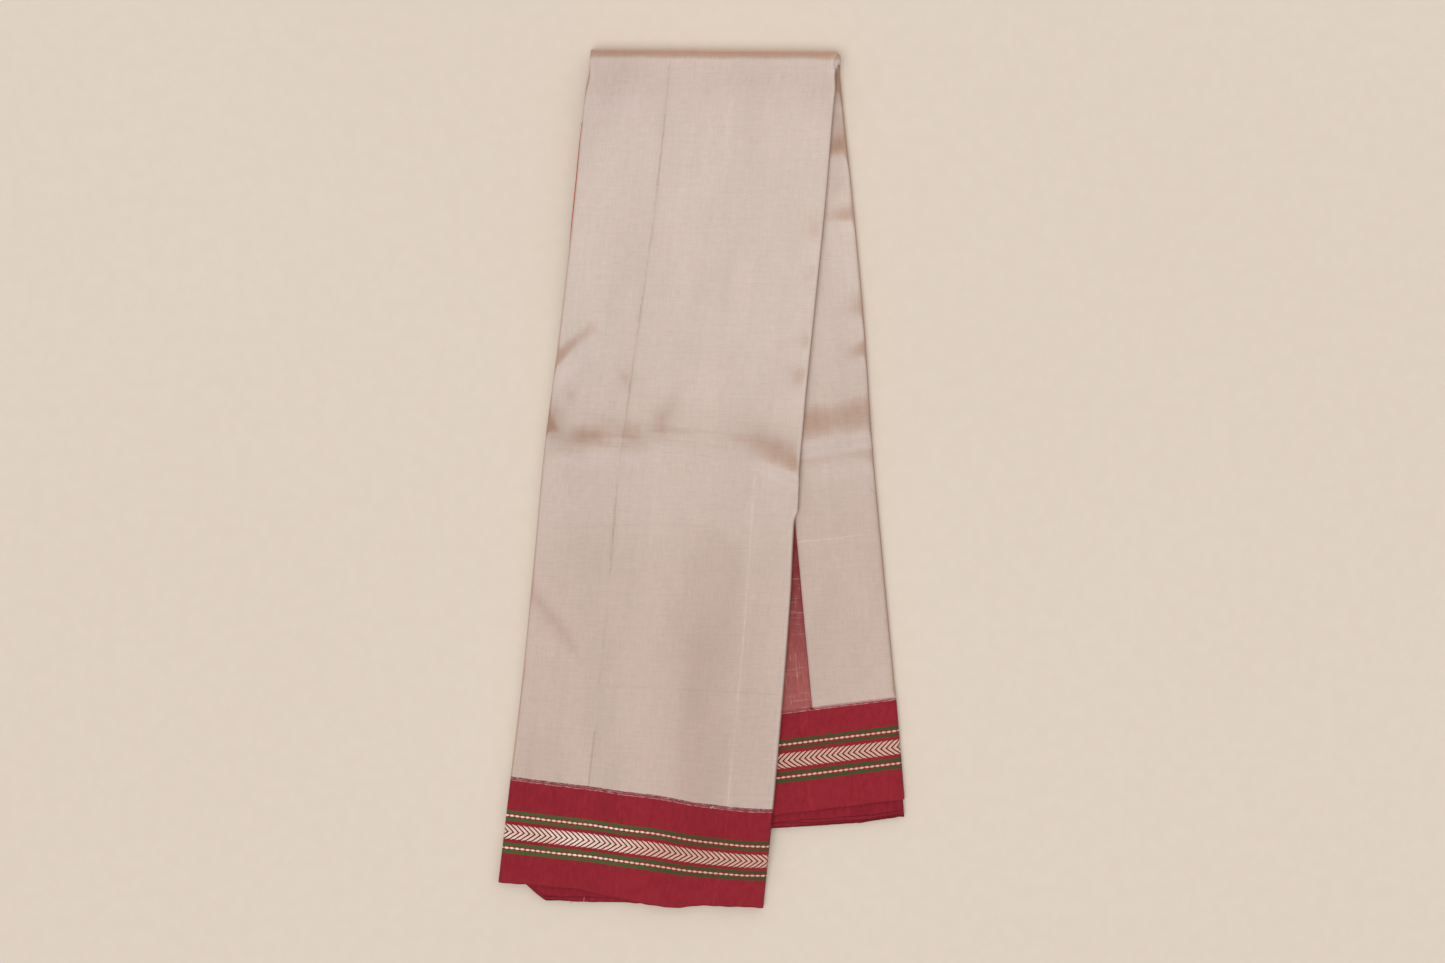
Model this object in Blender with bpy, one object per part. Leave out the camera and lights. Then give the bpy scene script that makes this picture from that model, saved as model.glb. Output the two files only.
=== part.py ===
"""A kanchipuram silk saree, pressed into a narrow bundle and doubled over at its middle.

The saree is one length of cloth. It is pleated on itself until it is a stack of layers as wide
as a hand is long, with its two woven borders at the two ends of the stack. The stack is then
folded once more across its middle, so that a front flap lies on a back flap and both borders
come to the bottom. The flaps are fanned a little apart, so the back flap shows on the right.

+Z is up, the saree lies on the plane z = 0, and the fold runs along X at the +Y end.
Every piece is worked out from the same bundle: a ribbon of pressed layers that starts at the
back flap's hem, runs up to the fold, turns over it and comes down to the front flap's hem. A
point of the ribbon is given by its station, its distance from the left edge, and its depth
under the face that is turned outwards (the floor side of the back flap, the top of the front).
"""

import math

import bpy
from mathutils import Vector

MM = 0.001

# The bundle, in millimetres
CLOTH_LAYERS = 32
LAYER_PITCH = 0.25
STACK = CLOTH_LAYERS * LAYER_PITCH
WALL = 1.0
SEAM = 0.3
CORE_DEPTH = WALL + SEAM

# The fold at the top: the stack turns round a small loop, which makes it stand up a little
FOLD_RADIUS = 9.5
FOLD_SETTLES = 45.0
FOLD_SKIN_ENDS = -66.0
FOLD_ANGLES = (-45, -22, 0, 22, 45, 68, 90)
CORE_BARE, CORE_COVERED = -82.0, -70.0

# Edges of the stack: on the right one fold wraps all the layers, on the left two half bundles meet
RIGHT_ROUND = STACK / 2
LEFT_ROUND = STACK / 4

# How far the front flap reaches past the back flap before it lies on the floor
SAG_STARTS = 10.0
SAG_ENDS = 50.0

# The ridge that an older fold across the bundle has left in both flaps
RIDGE_DOWN = 290.0
RIDGE_HIGH = 1.0
RIDGE_UPPER_SIDE = 36.0
RIDGE_LOWER_SIDE = 18.0

# How far the core stays back from the hems, and how far the back flap's top cloth reaches in
# under the front flap, where it ends on a small ledge of the core
HEM_PULL = 5.0
TUCK_UNDER = 20.0
LEDGE_RAMP = 0.6

FOLD_LINE_Y = 316.4

# Sections down each flap: down is measured on the left edge from the fold, left is the left
# edge's X, and slant is how much further down the right edge is met
FRONT_SECTIONS = (
    # name        down    left    width  slant
    ("fold", 0.0, -81.4, 184.7, 3.7),
    ("roll", 17.6, -82.3, 180.8, 0.6),
    ("shoulder", 31.0, -84.9, 183.4, 1.4),
    ("quarter", 119.0, -94.1, 184.9, 1.4),
    ("third", 207.0, -104.4, 186.0, 3.6),
    ("crease", 295.5, -116.0, 189.0, 5.8),
    ("middle", 383.5, -124.2, 190.7, 7.3),
    ("lower", 472.0, -133.0, 192.5, 11.0),
    ("join", 537.3, -140.9, 193.5, 23.1),
    ("hem", 613.7, -149.9, 195.5, 19.1),
)
BACK_SECTIONS = (
    # name        down    left    width  slant
    ("fold", 0.0, -81.4, 184.7, 3.7),
    ("roll", 17.6, -80.5, 182.7, 0.0),
    ("shoulder", 32.3, -79.0, 182.3, -1.4),
    ("quarter", 120.5, -71.7, 184.2, -1.4),
    ("third", 211.0, -65.0, 185.5, -3.6),
    ("crease", 302.8, -58.4, 184.8, -7.3),
    ("middle", 393.2, -51.1, 185.6, -9.5),
    ("lower", 479.2, -45.2, 187.4, -13.2),
    ("join", 501.3, -43.0, 186.7, -23.2),
    ("hem", 575.5, -37.1, 187.0, -22.8),
)

# How far below the straight line of its section the cloth hangs, by share of the width
JOIN_DIP = (
    # across  dip
    (0.0, 0.0),
    (0.43, 1.0),
    (0.80, 3.0),
    (1.0, 0.0),
)
FRONT_HEM_DIP = (
    # across  dip
    (0.0, 0.0),
    (0.28, -0.5),
    (0.43, 2.6),
    (0.64, 6.4),
    (0.75, 3.1),
    (0.85, 1.5),
    (1.0, 0.0),
)
# How far the inner layers' hems reach below the same line, where they have slipped out
FRONT_INNER_REACH = (
    # across  reach
    (0.0, -0.6),
    (0.095, -0.6),
    (0.18, 10.7),
    (0.33, 8.5),
    (0.48, 5.9),
    (0.62, 5.8),
    (0.75, 2.4),
    (1.0, -0.6),
)
BACK_INNER_REACH = (
    # across  reach
    (0.0, 6.0),
    (0.48, 9.4),
    (0.70, 12.0),
    (0.82, 13.4),
    (1.0, 12.8),
)

# Soft folds on the front flap's face, given where they start and end
SOFT_FOLDS = (
    # name          x0      y0      x1      y1    width  height
    ("left_upper", -102.0, 83.0, -84.0, 108.0, 7.0, 1.0),
    ("left_lower", -108.0, 46.0, -78.0, 34.0, 9.0, 0.7),
    ("left_hip", -128.0, -86.0, -96.0, -140.0, 12.0, 0.8),
    ("right_elbow", 40.0, 42.0, 74.0, 14.0, 9.0, 0.8),
)

# The stack's left edge, level by level from the outward face to the inward one: how deep each
# level lies and how far in from the edge, under the top cloth and where the stack is bare
LEFT_LEVELS = (
    # depth, inset under cloth   depth, inset where bare
    (1.3, 2.0, 0.0, 2.0),
    (1.5, 1.5, 0.6, 0.6),
    (2.0, 1.3, 2.0, 0.0),
    (2.5, 1.5, 3.4, 0.6),
    (2.7, 2.0, 3.9, 1.8),
    (2.8, 2.7, 4.0, 2.6),
    (4.3, 2.7, 4.3, 2.7),
    (4.6, 0.8, 4.6, 0.8),
    (5.2, 0.6, 5.2, 0.5),
    (5.6, 1.3, 5.6, 1.3),
    (6.2, 0.3, 6.2, 0.3),
    (6.7, 1.4, 6.7, 1.4),
    (7.4, 0.7, 7.4, 0.6),
    (8.0, 1.8, 8.0, 1.8),
)
TOP_LEVEL = len(LEFT_LEVELS) - 1

# The hems of the inner layers, seen from the end of the stack: how deep each level lies and how
# far it falls short of the longest one
HEM_LEVELS = (
    # depth  short
    (2.6, 1.0),
    (3.0, 0.2),
    (3.7, 0.9),
    (4.4, 0.0),
    (5.2, 1.0),
    (6.0, 0.3),
    (6.8, 1.1),
    (7.4, 0.5),
    (8.0, 0.9),
)
TERRACE_DEPTH = 2.3
TERRACE_SHORT = 1.4
NO_REACH = -0.6

# The weft turns from beige to red along one pick of the weave, a fixed way in from the right
PALLU_FROM_RIGHT = 62.0
PALLU_OPENS = 4.0

# The red layer's edge that shows on the left: how far it stands out at each distance down
PALLU_EDGE_INSET = 0.5
PALLU_EDGE_DEPTH = 3.8
PALLU_EDGE_ROWS = (
    # down  wide
    (44.0, 0.3),
    (58.0, 0.9),
    (80.0, 1.2),
    (105.0, 1.4),
    (128.0, 1.2),
    (146.0, 0.8),
    (154.0, 0.3),
)

COLOURS = {
    # name: linear red, green, blue, and roughness
    "beige_silk": (0.60, 0.49, 0.41, 0.55),
    "red_silk": (0.29, 0.016, 0.027, 0.5),
    "rose_silk": (0.34, 0.085, 0.09, 0.52),
    "inner_silk": (0.52, 0.42, 0.36, 0.7),
}


def smooth_step(low, high, value):
    """0 below low, 1 above high, and a smooth rise between them."""
    share = min(1.0, max(0.0, (value - low) / (high - low)))
    return share * share * (3 - 2 * share)


def along_rows(rows, key, column, at):
    """A smooth curve through one column of a table, read at a value of its key column."""
    keys = [row[key] for row in rows]
    values = [row[column] for row in rows]
    last = len(keys) - 2
    i = max(0, min(last, sum(1 for k in keys if k <= at) - 1))
    slopes = []
    for a, b in ((i - 1, i), (i, i + 1), (i + 1, i + 2)):
        a, b = max(a, 0), min(b, last + 1)
        slopes.append((values[b] - values[a]) / (keys[b] - keys[a]) if b > a else None)
    before, here, after = slopes
    before = here if before is None else before
    after = here if after is None else after

    def tangent(left, right):
        return 0.0 if left * right <= 0 else 2 * left * right / (left + right)

    span = keys[i + 1] - keys[i]
    share = (at - keys[i]) / span
    if share < 0 or share > 1:
        end = 0 if share < 0 else 1
        return values[i + end] + here * span * (share - end)
    start, finish = tangent(before, here) * span, tangent(here, after) * span
    return (
        values[i] * (1 + 2 * share) * (1 - share) ** 2
        + start * share * (1 - share) ** 2
        + values[i + 1] * share * share * (3 - 2 * share)
        + finish * share * share * (share - 1)
    )


def straight_rows(rows, at):
    """A broken line through a table of two columns."""
    for (x0, y0), (x1, y1) in zip(rows, rows[1:]):
        if at <= x1:
            return y0 + (y1 - y0) * (max(at, x0) - x0) / (x1 - x0)
    return rows[-1][1]


def section(sections, down):
    """Left edge's X, width and slant of a flap at a distance down from the fold."""
    return [along_rows(sections, 1, column, down) for column in (2, 3, 4)]


def named(sections, name):
    """How far down a named section lies."""
    return next(row[1] for row in sections if row[0] == name)


FRONT_JOIN, FRONT_HEM = named(FRONT_SECTIONS, "join"), named(FRONT_SECTIONS, "hem")
BACK_JOIN, BACK_HEM = named(BACK_SECTIONS, "join"), named(BACK_SECTIONS, "hem")


def front_dip(down, across):
    """How far the front flap's weave lines hang below a straight section."""
    join, hem = straight_rows(JOIN_DIP, across), straight_rows(FRONT_HEM_DIP, across)
    if down <= FRONT_JOIN:
        return join * smooth_step(named(FRONT_SECTIONS, "lower"), FRONT_JOIN, down)
    share = min(1.0, (down - FRONT_JOIN) / (FRONT_HEM - FRONT_JOIN))
    return join + (hem - join) * share


def plan(flap, down, inward):
    """Where a point of a flap lies from above: down from the fold, inward from the left edge."""
    sections = FRONT_SECTIONS if flap == "front" else BACK_SECTIONS
    left, width, slant = section(sections, down)
    across = inward / width
    dip = front_dip(down, across) if flap == "front" else 0.0
    return left + inward, FOLD_LINE_Y - down - slant * across - dip


def back_left_edge(y):
    """X of the back flap's left edge, which the front flap hides."""
    return section(BACK_SECTIONS, FOLD_LINE_Y - y)[0]


def back_hem_line(x):
    """Y of the lowest hem of the back flap."""
    left, width, slant = section(BACK_SECTIONS, BACK_HEM)
    across = min(1.0, max(0.0, (x - left) / width))
    reach = straight_rows(BACK_INNER_REACH, across)
    return FOLD_LINE_Y - BACK_HEM - slant * across - reach


def ridge(down):
    """Height of the old fold's ridge at a distance down a flap."""
    if down < RIDGE_DOWN:
        return RIDGE_HIGH * smooth_step(RIDGE_DOWN - RIDGE_UPPER_SIDE, RIDGE_DOWN, down)
    return RIDGE_HIGH * (1 - smooth_step(RIDGE_DOWN, RIDGE_DOWN + RIDGE_LOWER_SIDE, down))


def soft_folds(x, y):
    """Height of the soft folds on the front flap's face."""
    height = 0.0
    for _, x0, y0, x1, y1, width, high in SOFT_FOLDS:
        run = Vector((x1 - x0, y1 - y0))
        share = Vector((x - x0, y - y0)).dot(run) / run.length_squared
        share = min(1.0, max(0.0, share))
        away = (Vector((x, y)) - Vector((x0, y0)) - run * share).length
        height += high * (1 - 0.6 * share) * math.exp(-((away / width) ** 2))
    return height


def front_support(x, y, down):
    """Height of what the front flap's underside lies on: the back flap, or past it the floor."""
    past_left = max(0.0, back_left_edge(y) - x)
    past_hem = max(0.0, back_hem_line(x) - y)
    held = 1 - smooth_step(SAG_STARTS, SAG_ENDS, math.hypot(past_left, past_hem))
    loop = 2 * FOLD_RADIUS - 2 * STACK - SEAM
    loop *= 1 - smooth_step(FOLD_RADIUS, FOLD_RADIUS + FOLD_SETTLES, down)
    return held * (STACK + SEAM + ridge(FOLD_LINE_Y - y) + loop)


def place(station, inward, depth):
    """A point of the bundle, in metres: station is (part of the ribbon, down or angle)."""
    part, at = station
    if part == "back":
        x, y = plan("back", at, inward)
        z = depth * (1 + ridge(FOLD_LINE_Y - y) / STACK)
    elif part == "front":
        x, y = plan("front", at, inward)
        swell = 1 + (soft_folds(x, y) + 0.5 * ridge(FOLD_LINE_Y - y)) / STACK
        z = front_support(x, y, at) + (STACK - depth) * swell
    else:
        turned = (at + 90) / 180
        back, front = (section(s, FOLD_RADIUS) for s in (BACK_SECTIONS, FRONT_SECTIONS))
        left, width, slant = (b + (f - b) * turned for b, f in zip(back, front))
        angle, radius = math.radians(at), FOLD_RADIUS - depth
        x = left + inward
        y = FOLD_LINE_Y - FOLD_RADIUS - slant * inward / width + radius * math.cos(angle)
        z = FOLD_RADIUS + radius * math.sin(angle)
    return Vector((x, y, z)) * MM


def width_at(station):
    """The bundle's width at a station."""
    part, at = station
    if part == "fold":
        turned = (at + 90) / 180
        back, front = (section(s, FOLD_RADIUS)[1] for s in (BACK_SECTIONS, FRONT_SECTIONS))
        return back + (front - back) * turned
    return section(FRONT_SECTIONS if part == "front" else BACK_SECTIONS, at)[1]


def downs(start, end, count, dense=()):
    """Even steps from start to end, with some more where the cloth bends."""
    even = [start + (end - start) * i / count for i in range(count + 1)]
    step = abs(end - start) / count
    kept = [d for d in even[1:-1] if all(abs(d - e) > step / 3 for e in dense)]
    return sorted([even[0], even[-1], *kept, *dense], reverse=start > end)


# Columns across the flat of a flap, and rows down it, closer where the cloth bends
FLAT_STEPS = 9
BARE_STEPS = 6
TUCKED_STEPS = 4
BARE = range(1, BARE_STEPS + 1)
ROLL_ROW = 18.0
RIDGE_ROWS = (
    *(RIDGE_DOWN - RIDGE_UPPER_SIDE * share for share in (1.0, 0.75, 0.5, 0.25)),
    *(RIDGE_DOWN + RIDGE_LOWER_SIDE * share for share in (0.0, 0.33, 0.67, 1.0)),
)
FRONT_FIELD_ROWS = downs(ROLL_ROW, FRONT_JOIN, 17, RIDGE_ROWS)
FRONT_BORDER_ROWS = downs(FRONT_JOIN, FRONT_HEM - HEM_PULL, 6)
BACK_TOP = FOLD_RADIUS + 1.2
BACK_FIELD_ROWS = downs(BACK_TOP, BACK_JOIN, 13, RIDGE_ROWS)
BACK_BORDER_ROWS = downs(BACK_JOIN, BACK_HEM - HEM_PULL, 3)


def flat_positions(width):
    """Inward distances of the cloth's columns, between the rounds of its two edges."""
    first, last = LEFT_ROUND, width - RIGHT_ROUND
    return [first + (last - first) * i / FLAT_STEPS for i in range(FLAT_STEPS + 1)]


def new_object(name, points, faces, colour):
    """A named object from points and faces, with a silk material and smooth shading."""
    mesh = bpy.data.meshes.new(name)
    mesh.from_pydata(points, [], faces)
    mesh.update()
    obj = bpy.data.objects.new(name, mesh)
    bpy.context.scene.collection.objects.link(obj)
    mesh.materials.append(silk(colour))
    mesh.shade_smooth()
    mesh.set_sharp_from_angle(angle=math.radians(50))
    return obj


def silk(name):
    """The plain silk material of that name."""
    found = bpy.data.materials.get(name)
    if found:
        return found
    red, green, blue, rough = COLOURS[name]
    material = bpy.data.materials.new(name)
    material.use_nodes = True
    shader = material.node_tree.nodes["Principled BSDF"]
    shader.inputs["Base Color"].default_value = (red, green, blue, 1)
    shader.inputs["Roughness"].default_value = rough
    shader.inputs["Sheen Weight"].default_value = 0.3
    return material


def wall(name, outer, inner, colour):
    """A closed wall between two grids of points that have the same rows and columns."""
    rows, columns = len(outer), len(outer[0])
    points = [p for row in outer for p in row] + [p for row in inner for p in row]
    shift = rows * columns

    def at(i, j, side=0):
        return side * shift + i * columns + j

    faces = []
    for i in range(rows - 1):
        for j in range(columns - 1):
            faces.append((at(i, j), at(i + 1, j), at(i + 1, j + 1), at(i, j + 1)))
            faces.append((at(i, j, 1), at(i, j + 1, 1), at(i + 1, j + 1, 1), at(i + 1, j, 1)))
    for i in range(rows - 1):
        faces.append((at(i, 0), at(i, 0, 1), at(i + 1, 0, 1), at(i + 1, 0)))
        j = columns - 1
        faces.append((at(i, j), at(i + 1, j), at(i + 1, j, 1), at(i, j, 1)))
    for j in range(columns - 1):
        faces.append((at(0, j), at(0, j + 1), at(0, j + 1, 1), at(0, j, 1)))
        i = rows - 1
        faces.append((at(i, j), at(i, j, 1), at(i, j + 1, 1), at(i, j + 1)))
    return new_object(name, points, faces, colour)


def loft(name, rings, colour):
    """A closed solid through rings of points, with flat ends."""
    count = len(rings[0])
    points = [p for ring in rings for p in ring]
    faces = [tuple(reversed(range(count)))]
    for i in range(len(rings) - 1):
        for j in range(count):
            k = (j + 1) % count
            faces.append(
                (i * count + j, i * count + k, (i + 1) * count + k, (i + 1) * count + j)
            )
    faces.append(tuple((len(rings) - 1) * count + j for j in range(count)))
    return new_object(name, points, faces, colour)


def right_wrap(width, raised):
    """Inward distance and depth of cloth round the right edge, until it is tucked under."""
    radius = RIGHT_ROUND - WALL + raised
    turns = [math.radians(angle) for angle in (60, 30, 0, -30, -60, -90)]
    centre = width - RIGHT_ROUND
    return [
        (centre + radius * math.cos(turn), RIGHT_ROUND - radius * math.sin(turn)) for turn in turns
    ]


def left_wrap(raised):
    """Inward distance and depth of cloth round the left edge's upper half bundle."""
    radius = LEFT_ROUND - WALL + raised
    turns = [math.radians(angle) for angle in (-90, -45, 0, 45)]
    return [
        (LEFT_ROUND - radius * math.cos(turn), LEFT_ROUND - radius * math.sin(turn))
        for turn in turns
    ]


def front_cloth(name, stations, colour):
    """Cloth on the outward face, from the parting of the left edge to under the right edge."""
    grids = []
    for raised in (WALL, 0.0):
        grid = []
        for station in stations:
            width = width_at(station)
            flat = [(e, WALL - raised) for e in flat_positions(width)]
            profile = left_wrap(raised) + flat + right_wrap(width, raised)
            grid.append([place(station, e, d) for e, d in profile])
        grids.append(grid)
    return wall(name, grids[0], grids[1], colour)


def back_cloth(name, rows, first_edge, colour, last_edge=None):
    """Cloth on the back flap's upward face, from first_edge to last_edge or round the right."""
    grids = []
    for raised in (WALL, 0.0):
        grid = []
        for down in rows:
            width = width_at(("back", down))
            start = first_edge(down)
            end = width - RIGHT_ROUND if last_edge is None else last_edge(down)
            step = (end - start) / TUCKED_STEPS
            profile = [(start + step * i, WALL - raised) for i in range(TUCKED_STEPS + 1)]
            if last_edge is None:
                profile += right_wrap(width, raised)
            grid.append([place(("back", down), e, STACK - d) for e, d in profile])
        grids.append(grid)
    return wall(name, grids[0], grids[1], colour)


def tuck_edge(down):
    """Inward distance, on the back flap, of a line that lies tucked under the front flap."""
    left, width, slant = section(BACK_SECTIONS, down)
    level = FOLD_LINE_Y - down - slant
    front_left, front_width, _ = section(FRONT_SECTIONS, FOLD_LINE_Y - level)
    right_edge = front_left + front_width
    return min(right_edge - TUCK_UNDER - left, width - 2 * TUCK_UNDER)


def tucked_edge(down):
    """Inward distance of the back cloth's hidden edge, just clear of the core's ledge."""
    return tuck_edge(down) + LEDGE_RAMP + SEAM


def pallu_edge(down):
    """Inward distance, on the back flap, of the line where the weft turns red."""
    return width_at(("back", down)) - PALLU_FROM_RIGHT


def pallu_shows(down):
    """Whether the red end of the saree reaches out from under the front flap here."""
    return pallu_edge(down) > tuck_edge(down) + PALLU_OPENS


def field_edge(down):
    """Inward distance, on the back flap, where the beige cloth starts."""
    return pallu_edge(down) + SEAM / 2 if pallu_shows(down) else tucked_edge(down)


def build_core():
    """All the hidden layers as one rounded stack, doubled over, layered at its open edges."""
    back_rows = [BACK_TOP, *BACK_FIELD_ROWS[1:], *BACK_BORDER_ROWS[1:]]
    front_rows = [*FRONT_FIELD_ROWS, *FRONT_BORDER_ROWS[1:]]
    stations = [("back", down) for down in reversed(back_rows)]
    stations += [("fold", angle) for angle in (-90, CORE_BARE, CORE_COVERED, *FOLD_ANGLES)]
    stations += [("front", down) for down in front_rows]
    outer, inner, lefts, rights = [], [], [], []
    for station in stations:
        part, at = station
        width = width_at(station)
        cover = 0.0 if part == "back" else 1.0
        if part == "fold":
            cover = smooth_step(CORE_BARE - 1, CORE_COVERED, at)
        left = [
            (bare_in + (in_ - bare_in) * cover, bare_deep + (deep - bare_deep) * cover)
            for deep, in_, bare_deep, bare_in in LEFT_LEVELS
        ]
        core_round, right = RIGHT_ROUND - CORE_DEPTH, []
        for k in range(TOP_LEVEL + 1):
            turn = math.pi * k / TOP_LEVEL - math.pi / 2
            inset = RIGHT_ROUND - core_round * math.cos(turn)
            right.append((width - inset, RIGHT_ROUND + core_round * math.sin(turn)))
        brink = width - RIGHT_ROUND - CORE_DEPTH
        if part == "back":
            ledge = tuck_edge(at)
            columns = [LEFT_ROUND + (ledge - LEFT_ROUND) * i / BARE_STEPS for i in BARE]
            columns += [ledge + LEDGE_RAMP, (ledge + LEDGE_RAMP + brink) / 2, brink]
        else:
            columns = flat_positions(width)[1:-1] + [brink]
        outer_row = [left[0], *((e, CORE_DEPTH * cover) for e in columns), right[0]]
        inner_row = [left[-1]]
        for i, e in enumerate(columns):
            under_cloth = part == "back" and i >= BARE_STEPS
            inner_row.append((e, STACK - CORE_DEPTH if under_cloth else STACK))
        inner_row.append(right[-1])
        for rows, row in ((outer, outer_row), (inner, inner_row), (lefts, left), (rights, right)):
            rows.append([place(station, e, d) for e, d in row])
    return core_mesh(outer, inner, lefts, rights)


def core_mesh(outer, inner, lefts, rights):
    """Closes the stack: its two faces, its two edges and its two ends."""
    points, index = [], {}

    def vertex(point):
        key = tuple(round(c, 8) for c in point)
        if key not in index:
            index[key] = len(points)
            points.append(point)
        return index[key]

    grids = [[[vertex(p) for p in row] for row in rows] for rows in (outer, inner, lefts, rights)]
    out, inn, left, right = grids
    last, faces = len(out) - 1, []
    for i in range(last):
        for j in range(len(out[0]) - 1):
            faces.append((out[i][j], out[i + 1][j], out[i + 1][j + 1], out[i][j + 1]))
            faces.append((inn[i][j], inn[i][j + 1], inn[i + 1][j + 1], inn[i + 1][j]))
        for k in range(TOP_LEVEL):
            faces.append((left[i][k], left[i][k + 1], left[i + 1][k + 1], left[i + 1][k]))
            faces.append((right[i][k], right[i + 1][k], right[i + 1][k + 1], right[i][k + 1]))
    for i, flip in ((0, False), (last, True)):
        ends = [[out[i][1], inn[i][1], *reversed(left[i])]]
        ends.append([inn[i][-2], out[i][-2], *right[i]])
        for j in range(1, len(out[0]) - 2):
            ends.append([out[i][j], out[i][j + 1], inn[i][j + 1], inn[i][j]])
        faces += [tuple(reversed(end)) if flip else tuple(end) for end in ends]
    return new_object("hidden_layers", points, faces, "inner_silk")


def build_inner_hem(name, flap, hem, reach_table, colour):
    """The hems of the inner layers, which have slipped out below the top cloth's hem."""
    width = width_at((flap, hem))
    last = width - RIGHT_ROUND
    core_round = RIGHT_ROUND - CORE_DEPTH
    flat = flat_positions(width)
    flat[0] += SEAM
    columns = [(side, RIGHT_ROUND) for side in [*flat[:-1], last - CORE_DEPTH]]
    for angle in (88, 60, 35, 12):
        turn = math.radians(angle)
        columns.append((last + core_round * math.cos(turn), core_round * math.sin(turn)))
    rings = []
    for side, half_thick in columns:
        across = side / width
        dip = straight_rows(FRONT_HEM_DIP, across) if flap == "front" else 0.0
        reach = max(NO_REACH, straight_rows(reach_table, across) - dip)
        step = min(NO_REACH, reach - TERRACE_SHORT)
        ring = [(down, CORE_DEPTH) for down in (SEAM - HEM_PULL, min(step - 0.5, 0.0), step)]
        ring.append((step + 0.1, TERRACE_DEPTH))
        ring += [(reach - short, deep) for deep, short in HEM_LEVELS]
        ring.append((SEAM - HEM_PULL, STACK))
        points = []
        for down, depth in ring:
            full = core_round if depth < RIGHT_ROUND else RIGHT_ROUND
            depth = RIGHT_ROUND + (depth - RIGHT_ROUND) * min(1.0, half_thick / full)
            depth = depth if flap == "front" else STACK - depth
            station = (flap, hem + down)
            points.append(place(station, across * width_at(station), depth))
        rings.append(points)
    return loft(name, rings, colour)


def build_pallu_edge():
    """The edge of an inner layer of the red end, which shows at the front flap's left edge."""
    rings = []
    for down, wide in PALLU_EDGE_ROWS:
        inward, depth = PALLU_EDGE_INSET, PALLU_EDGE_DEPTH
        profile = [(inward - wide, depth + 0.7), (inward, depth + 0.9), (inward, depth)]
        profile.append((inward - wide, depth + 0.2))
        rings.append([place(("front", down), e, d) for e, d in profile])
    return loft("pallu_edge", rings, "rose_silk")


def clear_scene():
    for obj in list(bpy.data.objects):
        bpy.data.objects.remove(obj)


def main():
    clear_scene()
    build_core()
    half = SEAM / 2
    fold = [("fold", angle) for angle in (FOLD_SKIN_ENDS, *FOLD_ANGLES)]
    field = [("front", down) for down in [*FRONT_FIELD_ROWS[:-1], FRONT_JOIN - half]]
    border = [FRONT_JOIN + half, *FRONT_BORDER_ROWS[1:], FRONT_HEM]
    front_cloth("front_field", fold + field, "beige_silk")
    front_cloth("front_border", [("front", down) for down in border], "red_silk")
    build_inner_hem("front_inner_hem", "front", FRONT_HEM, FRONT_INNER_REACH, "red_silk")

    rows = [BACK_TOP + SEAM, *BACK_FIELD_ROWS[1:-1], BACK_JOIN - half]
    back_cloth("back_field", rows, field_edge, "beige_silk")
    pallu = [down for down in rows if pallu_shows(down)]
    back_cloth("back_pallu", pallu, tucked_edge, "rose_silk", lambda d: pallu_edge(d) - half)
    rows = [BACK_JOIN + half, *BACK_BORDER_ROWS[1:], BACK_HEM]
    back_cloth("back_border", rows, tucked_edge, "red_silk")
    build_inner_hem("back_inner_hem", "back", BACK_HEM, BACK_INNER_REACH, "red_silk")
    build_pallu_edge()


main()
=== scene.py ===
"""The looks of a kanchipuram silk saree, pressed into a bundle, doubled over and laid flat.

Every piece follows the same ribbon of pressed layers as the solids do: it starts at the back
flap's hem, runs up to the fold, turns over it and comes down to the front flap's hem. A point of
it is given by its part of the ribbon, how far down the flap it lies (or its angle round the
fold), its distance in from the left edge, and its depth under the face that is turned outwards.
Lengths are in millimetres until a mesh is made.
"""

import math

import bpy
import numpy as np
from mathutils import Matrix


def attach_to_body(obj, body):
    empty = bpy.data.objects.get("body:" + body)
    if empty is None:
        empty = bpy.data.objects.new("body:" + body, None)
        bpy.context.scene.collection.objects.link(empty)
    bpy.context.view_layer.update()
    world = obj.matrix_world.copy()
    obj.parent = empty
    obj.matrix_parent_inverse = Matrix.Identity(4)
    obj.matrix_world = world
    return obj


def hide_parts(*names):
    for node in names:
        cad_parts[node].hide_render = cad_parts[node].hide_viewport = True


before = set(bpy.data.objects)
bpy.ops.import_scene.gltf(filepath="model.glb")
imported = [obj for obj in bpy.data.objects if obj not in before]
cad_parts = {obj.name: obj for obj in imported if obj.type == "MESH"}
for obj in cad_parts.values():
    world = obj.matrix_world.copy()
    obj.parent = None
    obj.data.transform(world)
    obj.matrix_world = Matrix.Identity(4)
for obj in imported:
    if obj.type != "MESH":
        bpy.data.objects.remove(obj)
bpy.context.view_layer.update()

MM = 0.001

# The bundle, as the solids have it
STACK = 8.0
WALL = 1.0
SEAM = 0.3
CORE_DEPTH = WALL + SEAM
FOLD_RADIUS = 9.5
FOLD_LINE_Y = 316.4
RIGHT_ROUND = 4.0
LEFT_ROUND = 2.0

# How far from the fold its loop has settled on the stack, and how far past the back flap the
# front flap starts to sink and reaches the floor
FOLD_SETTLES = 45.0
SAG_STARTS, SAG_ENDS = 10.0, 50.0

# How far the hidden layers stop short of the hems, and how far the back flap's cloth reaches in
# under the front flap
HEM_PULL = 5.0
TUCK_UNDER = 20.0

# How thick the cloth that shows is
CLOTH = 0.35

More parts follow.
